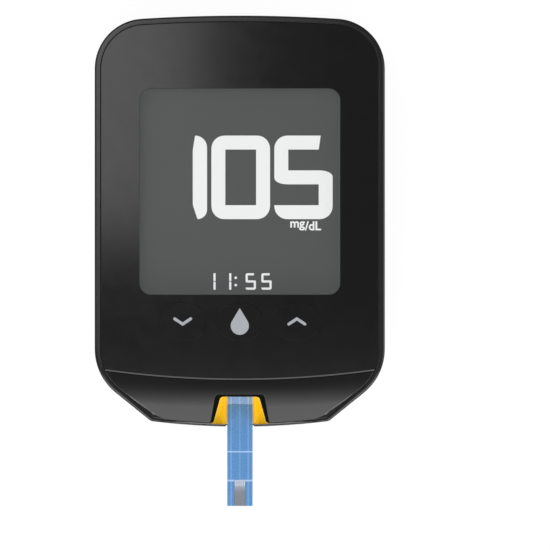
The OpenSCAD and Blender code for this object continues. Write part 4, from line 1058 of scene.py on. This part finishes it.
def panel_ring(out, crease, drop_out, drop_crease):
    """One ring of the panel: its outer edge moved in by out, its crease edge by crease."""
    points = seam_outline(COVER_INSET + out)
    radius = CREASE_R - crease
    beyond = [reach(*p) > CREASE_R - 1 for p in seam_outline(COVER_INSET)]
    first = beyond.index(True) - 1
    last = len(beyond) - beyond[::-1].index(True)

    def end_angle(i, step):
        while reach(*points[i + step]) < radius:
            i += step
        x, y = crossing(points[i], points[i + step], radius)
        return degrees(atan2(y - CREASE_CY, x))

    front = arc(0, CREASE_CY, radius, end_angle(first, 1), end_angle(last, -1), 48)
    return level(points[last:] + points[:first + 1], FRONT_Z - drop_out) + level(front, FRONT_Z - drop_crease)


def build_front_panel():
    edge, cut_w, cut_drop, steps = 0.06, 0.42, 0.19, 4
    rings = [level(panel_ring(0, 0, 0, 0), PANEL_Z)]
    for i, (c, s) in enumerate(quarter(steps)):
        t = i / steps
        rings.append(panel_ring(edge * c, cut_w * t, edge * s, cut_drop * (1 - t)))
    opening = lambda soft: flared(soft, FRONT_Z, PANEL_Z - 1)[::-1]
    tools = [slab("window", window_shape(), opening(0.03)),
             slab("flange", window_shape(FLANGE_W), [(0, PANEL_Z - 1), (0, PANEL_Z + FLANGE_T)])]
    tools += [slab("key", key_shape(x, KEY_GAP), opening(KEY_SOFT)) for x in KEY_XS]
    place(carve(loft("panel", rings), *tools), "front_panel_plate", "panel_black", ["front_panel"], sharp=14)


def build_window():
    """Clear pane with softened edges, on its hidden flange."""
    pane, flange = window_shape(-WINDOW_EDGE), window_shape(FLANGE_W - WINDOW_GAP, WINDOW_R + WINDOW_GAP)
    seat = PANEL_Z + FLANGE_T - WINDOW_GAP
    rings = [level(flange(d), z) for d, z in ((0.05, PANEL_Z), (0, PANEL_Z + 0.05), (0, seat))]
    rings += [level(pane(d), z) for d, z in ((0, seat), (0, FRONT_Z - 0.16), (0.03, FRONT_Z - 0.12),
                                             (0.3, FRONT_Z - 0.01), (0.36, FRONT_Z))]
    place(loft("window", rings), "display_window_pane", "window_clear", ["display_window"])


def arrow_outline():
    """Upward arrow about the origin: two bars with round ends, clockwise."""
    r = ARROW_STROKE / 2
    x, y = ARROW_W / 2 - r, ARROW_L / 2 - r
    a = atan2(2 * y, x)
    k = r / cos(a)
    a = degrees(a)
    left, right = arc(-x, -y, r, a + 90, a + 270, 10), arc(x, -y, r, -a - 90, 90 - a, 10)
    return [*left, (0, y - k), *right, (0, y + k)][::-1]


def drop_outline():
    """Drop about the origin, point upwards, clockwise."""
    r = DROP_L * 0.34
    a = degrees(acos(r / (DROP_L - r)))
    return [(0, DROP_L / 2)] + arc(0, r - DROP_L / 2, r, 90 - a, -270 + a, 40)


def build_keys():
    """Gloss caps with retaining tabs, and the symbols let into them: arrow down, drop, arrow up."""
    arrow = arrow_outline()
    symbols = ([(x, -y) for x, y in arrow[::-1]], drop_outline(), arrow)
    for body, key_x, points in zip(("key_down", "key_home", "key_up"), KEY_XS, symbols):
        shape = lambda d: [(x + key_x, y + KEY_Y) for x, y in inset_points(points, d)]
        cap = unite(slab("cap", key_shape(key_x), plate(TAB_Z, FRONT_Z, 0, KEY_SOFT, 2)),
                    key_tabs(key_x, TAB_Z, TAB_Z + TAB_T))
        foot, top = FRONT_Z - SYMBOL_DEPTH, FRONT_Z
        carve(cap, slab("recess", shape, [(0, foot), (0, top - 0.02), (-0.02, top), (-0.2, top + 1)]))
        place(cap, body + "_cap_gloss", "panel_black", [body + "_cap"], body, sharp=14)
        inlay = slab("inlay", shape, [(0, foot), (0, top - 0.03), (0.012, top - 0.008), (0.03, top)])
        place(inlay, body + "_symbol_inlay", "symbol_silver", [body + "_symbol"], body)


def build_unit_words():
    """The unit mg/dL, lit like the digits; its second half stands a little lower."""
    z = Span("lcd_segments").low[2]
    halves = []
    for words, x, y in (("mg", 9.7, -1.15), ("/dL", 12.65, -1.69)):
        curve = bpy.data.curves.new("words", "FONT")
        curve.body = words
        curve.size = 2.4 * MM
        curve.offset = 0.055 * MM
        curve.extrude = 0.02 * MM
        text = new_object("words", curve)
        graph = bpy.context.evaluated_depsgraph_get()
        graph.update()
        mesh = bpy.data.meshes.new_from_object(text.evaluated_get(graph))
        bpy.data.objects.remove(text)
        for v in mesh.vertices:
            v.co += Vector((x * MM, y * MM, (z + 0.03) * MM))
        halves.append(new_object("words", mesh))
    place(join("unit", halves), "lcd_unit_words", "segment_white")


# ---- strip port and strip

def build_liner():
    """Yellow funnel in the notch: a floor with filleted sides that lean out to the cover."""
    side_w, soft, end_y = LINER.high[0], 0.12, BOTTOM_Y + COVER_INSET + SKIRT_T + 0.55
    mouth_w = side_w - 1.1
    body = block((-side_w, end_y, BOARD_TOP), (side_w, LINER.high[1], LINER_TOP), soft)
    unite(body, block((-mouth_w, BOTTOM_Y, BOARD_TOP), (mouth_w, end_y + 0.5, LINER_TOP), soft))
    within(body, slab("inside", outline, [(LIP_T + 0.02, 0), (LIP_T + 0.02, FRONT_Z)]))
    # Rings of the funnel: how far each one leans out from the floor, and its height
    rings = []
    for t, z in ((-0.1, PORT_FLOOR_Z), (-0.02, PORT_FLOOR_Z + 0.06), (0.07, PORT_FLOOR_Z + 0.22),
                 (0.93, PORT_FLOOR_Z + (LINER_TOP - PORT_FLOOR_Z) * 0.94), (1.04, LINER_TOP + 0.01),
                 (1.2, LINER_TOP + 1)):
        widths = [a + (b - a) * t for a, b in zip(PORT_FLOOR, NOTCH_LOW)]
        rings.append(level(both_sides(notch_half(widths, 0.3, 0, FUNNEL_Y)), z))
    w = STRIP_W / 2 + 0.1
    carve(body, loft("funnel", rings),
          block((-w, NOTCH_Y - 1, PORT_FLOOR_Z), (w, LINER.high[1] + 1, PORT_FLOOR_Z + 0.65)),
          block((-w, FUNNEL_Y - 0.5, PORT_FLOOR_Z), (w, NOTCH_Y, LINER_TOP + 1)))
    place(body, "strip_port_funnel", "liner_yellow", ["strip_port_liner"])


def strip_shape(y_end, r=0.18):
    """The strip's outline, rounded at its free end."""
    def shape(d):
        w, low = STRIP_W / 2 - d, STRIP_TIP_Y + d
        return [(w, y_end - d), *arc(w - r, low + r, r, 0, -90, 6), *arc(-w + r, low + r, r, -90, -180, 6),
                (-w, y_end - d)]
    return shape


def sample_shape(w, top, shoulder, low, narrow, follow):
    """Outline of the sample window, narrower at its inner end; its low side moves by follow times the inset."""
    return lambda d: both_sides([(w - narrow - d, top - d), (w - d, shoulder), (w - d, low + d * follow)])


def build_strip():
    """The strip's films, and a wick with teeth in the opening at its tip."""
    cover, sample = Span("strip_cover"), Span("strip_sample_window")
    film = slab("base", strip_shape(STRIP.high[1]), plate(STRIP.low[2], STRIP.high[2], 0.04, 0.03, 2))
    place(film, "strip_base_film", "strip_light", ["strip_base"], "test_strip")
    gap, z0, z1 = 0.02, cover.low[2], cover.high[2]
    w, top = sample.high[0] + gap, sample.high[1] + gap
    shoulder = top - 0.9
    film = carve(slab("cover", strip_shape(cover.high[1]), plate(z0, z1, 0, 0.04, 2)),
                 slab("opening", sample_shape(w, top, shoulder, STRIP_TIP_Y - 1, 0.12, 0),
                      [(0, z0 - 1), (0, z1 - 0.03), (-0.03, z1), (-0.1, z1 + 1)]))
    place(film, "strip_cover_film", "strip_blue", ["strip_cover"], "test_strip")
    count, margin = 6, 0.25
    pitch = (2 * w - 2 * margin) / count
    xs = [-w + margin + pitch * (i + 0.5) for i in range(count)]
    half, low, high = pitch * 0.3, sample.low[2] + 0.02, sample.high[2]
    teeth = [block((x - half, top - 0.75, low), (x + half, top - 0.2, high), 0.02) for x in xs]
    wick = slab("wick", sample_shape(w - gap, top - gap, shoulder, STRIP_TIP_Y + 0.02, 0.14, 1),
                plate(sample.low[2], sample.high[2] - 0.04, 0, 0.02, 2))
    place(unite(wick, *teeth), "strip_sample_wick", "sample_grey", ["strip_sample_window"], "test_strip")


# ---- rear face and sockets

def build_battery_door():
    """Sliding door with side tongues and flared grip grooves."""
    w, z = DOOR_W / 2, DOOR_INSET
    side = w + TONGUE_W
    door = slab("door", door_shape(w, DOOR_Y), [(0.15, z), (0.04, z + 0.05), (0, z + 0.15), (0, DOOR_TOP)])
    unite(door, block((-side, DOOR_Y, DOOR_LIP + 0.1), (side, TOP_Y + 2, DOOR_TOP), 0.05))
    within(door, slab("body", outline, rear_rings(12)))
    count, pitch, length, width, depth, from_top = 4, 1.6, 12, 0.6, 0.35, 8.6
    profile = [(-0.5, z - 0.4), (-0.1, z), (0, z + 0.1), (0, z + depth - 0.08), (0.08, z + depth)]
    groove = lambda y: slab("groove", rounded(length, width, width / 2, 0, y, 10), profile)
    carve(door, *[groove(TOP_Y - from_top - pitch * i) for i in range(count)])
    place(door, "battery_door_plate", "housing_black", ["battery_door"], "battery_door")


def build_screws():
    """Screws with rounded heads and flared cross recesses."""
    screws = []
    for x, y, z in SCREWS:
        neck = z + HEAD_H
        profile = [(HEAD_R - 1.2, z), (0.35, z + 0.02), (0.12, z + 0.08), (0, z + 0.25), (0, neck),
                   (HEAD_R - SHANK_R, neck), (HEAD_R - SHANK_R, neck + SHANK_L - 0.6),
                   (HEAD_R - 0.3, neck + SHANK_L - 0.01)]
        screws.append(carve(slab("screw", round_hole(HEAD_R, x, y, 48), profile),
                            *cross(1.0, 0.25, 0.1, x, y, [(-0.1, z - 0.5), (0, z + 0.05), (0.1, z + 0.6)])))
    place(join("screws", screws), "case_screws_cross", "screw_steel", ["case_screws"])


def build_label():
    label = slab("label", label_shape(n=10), plate(LABEL.low[2], LABEL.high[2], 0.05, 0, 3))
    place(label, "rear_label_plate", "label_silver", ["rear_label"])


def build_cells():
    """Coin cells with rolled can edges and a stamped plus on the face under the door."""
    z0, z1 = CELL.low[2], CELL.high[2]
    profile = [(1.6, z0 + 0.05), (1.5, z0), (0.45, z0), (0.2, z0 + 0.07), (0.05, z0 + 0.2), (0, z0 + 0.45),
               (0, z1 - 0.2), (0.06, z1 - 0.05), (0.2, z1), (0.55, z1), (0.6, z1 - 0.1)]
    stamp = [(-0.05, z0 - 0.5), (0, z0 + 0.06), (0.04, z0 + 0.15)]
    for node, x in zip(("meter_battery", "light_battery"), CELL_XS):
        can = slab("can", round_hole(CELL_R, x, CELL_Y, 96), profile)
        carve(can, *cross(2.6, 0.35, 0.15, x, CELL_Y, stamp))
        place(can, node + "_can", "cell_nickel", [node])


def build_usb_shell():
    """Drawn socket shell with a rolled lip."""
    sheet, back, front = 0.3, USB.low[1], USB.high[1]
    shell = duct("usb", rounded(USB.size[0], USB.size[2], 0.8),
                 [(0, back), (0, front - 0.1), (0.04, front - 0.03), (sheet / 2, front),
                  (sheet - 0.04, front - 0.03), (sheet, front - 0.1), (sheet, back + sheet)])
    place(shell, "usb_shell_rolled", "usb_steel", ["usb_shell"])


# ---- room, camera and lights

# The light wall beyond the chin: its radiance, and the angles from the zenith where its parts meet and end
WALL_GLOW = 2.4
WALL_SPLIT, WALL_TURN, WALL_END = 36, 54, 67
WALL_RAMP = (0.2, 0.71)


def build_floor():
    """White floor that renders as the page's white, and still takes the object's shadow."""
    material = bpy.data.materials.new("floor_white")
    g = empty_graph(material)
    ray = g.add("LightPath").outputs
    seen = g.math("MAXIMUM", ray["Is Camera Ray"], ray["Is Glossy Ray"])
    seen = g.math("MULTIPLY", g.math("MAXIMUM", seen, ray["Is Transmission Ray"]), 0.86)
    lit = g.add("BsdfDiffuse", {"Color": (0.85, 0.85, 0.85, 1)}).outputs[0]
    front = g.choose(seen, lit, g.add("Emission", {"Strength": 1.06}).outputs[0])
    clear = g.add("BsdfTransparent").outputs[0]
    g.add("OutputMaterial", {"Surface": g.choose(g.add("NewGeometry").outputs["Backfacing"], front, clear)})
    half, z = 3.0, -0.0001
    mesh = bpy.data.meshes.new("floor")
    corners = [(-half, -half, z), (half, -half, z), (half, half, z), (-half, half, z)]
    mesh.from_pydata(corners, [], [(0, 1, 2, 3)])
    mesh.materials.append(material)
    new_object("floor", mesh)


def build_world():
    """White to the camera; in reflections, a dark ceiling that brightens to a wall beyond the chin."""
    world = bpy.data.worlds.new("studio")
    bpy.context.scene.world = world
    g = empty_graph(world)
    x, y, z = g.add("SeparateXYZ", {0: g.add("TexCoord").outputs["Generated"]}).outputs
    forward = g.math("DIVIDE", g.math("MULTIPLY", y, -1.0), g.math("MAXIMUM", z, 0.05))
    bend = g.math("MINIMUM", g.math("MULTIPLY", g.math("MULTIPLY", x, x), 38.0), 0.16)
    wall = g.spread(g.math("SUBTRACT", forward, bend), 0.0, WALL_GLOW, *WALL_RAMP, "SMOOTHSTEP")
    # The lamps of the front wall take over where this part of it ends, as seen from the chin
    wall = g.math("MULTIPLY", wall, g.math("LESS_THAN", forward, tan(radians(WALL_SPLIT - 2.2))))
    dome = g.math("ADD", g.spread(z, 0.32, 0.12, 0.0, 0.55, "SMOOTHSTEP"), wall)
    soft, dome, white = (g.add("Background", {"Color": (1, 1, 1, 1), "Strength": strength}).outputs[0]
                         for strength in (0.42, dome, 1.0))
    ray = g.add("LightPath").outputs
    mirrored = g.choose(g.math("MAXIMUM", ray["Is Glossy Ray"], ray["Is Transmission Ray"]), soft, dome)
    g.add("OutputWorld", {"Surface": g.choose(ray["Is Camera Ray"], mirrored, white)})


def softbox(name, centre, size, radiance, target=(0, 0, 0.016)):
    """A rectangular lamp whose face has that radiance, turned towards the target."""
    lamp = bpy.data.lights.new(name, "AREA")
    lamp.shape = "RECTANGLE"
    lamp.size, lamp.size_y = size
    lamp.energy = radiance * pi * size[0] * size[1]
    obj = new_object(name, lamp)
    obj.location = centre
    obj.rotation_euler = (Vector(target) - Vector(centre)).to_track_quat("-Z", "Y").to_euler()


def build_lights():
    softbox("ceiling box", (-0.263, 0.250, 0.616), (0.50, 0.50), 2.25, (-0.263, 0.250, 0))
    softbox("low ceiling strip", (0, -0.053, 0.616), (0.24, 0.024), 0.8, (0, -0.053, 0))
    softbox("right box", (0.62, 0.0, 0.40), (0.30, 0.60), 1.4)
    # The light wall goes on from where the world's part of it ends, brighter lower down
    far, wide = 0.7, 1.4
    for low, high, radiance in ((WALL_SPLIT, WALL_TURN, WALL_GLOW), (WALL_TURN, WALL_END, 2 * WALL_GLOW)):
        a = radians(low + high) / 2
        tall = 2 * far * tan(radians(high - low) / 2)
        softbox("front wall", (0, -far * sin(a), 0.016 + far * cos(a)), (wide, tall), radiance)


def build_camera():
    """Straight above the front face, a little right and below its middle, as framed in the view to match."""
    lens, sensor, frame_w, x, y = 600, 36, 106.5, 6.82, -10.41
    camera = bpy.data.cameras.new("camera")
    camera.lens = lens
    camera.sensor_width = sensor
    camera.clip_start = 0.01
    bpy.context.scene.camera = new_object("camera", camera)
    bpy.context.scene.camera.location = (x * MM, y * MM, (FRONT_Z + frame_w * lens / sensor) * MM)


# ---- build

for build in (build_camera, build_world, build_lights, build_floor, build_rear_housing, build_front_cover,
              build_front_panel, build_window, build_keys, build_unit_words, build_liner, build_strip,
              build_battery_door, build_screws, build_label, build_cells, build_usb_shell):
    build()
bpy.context.scene.view_settings.view_transform = "Standard"
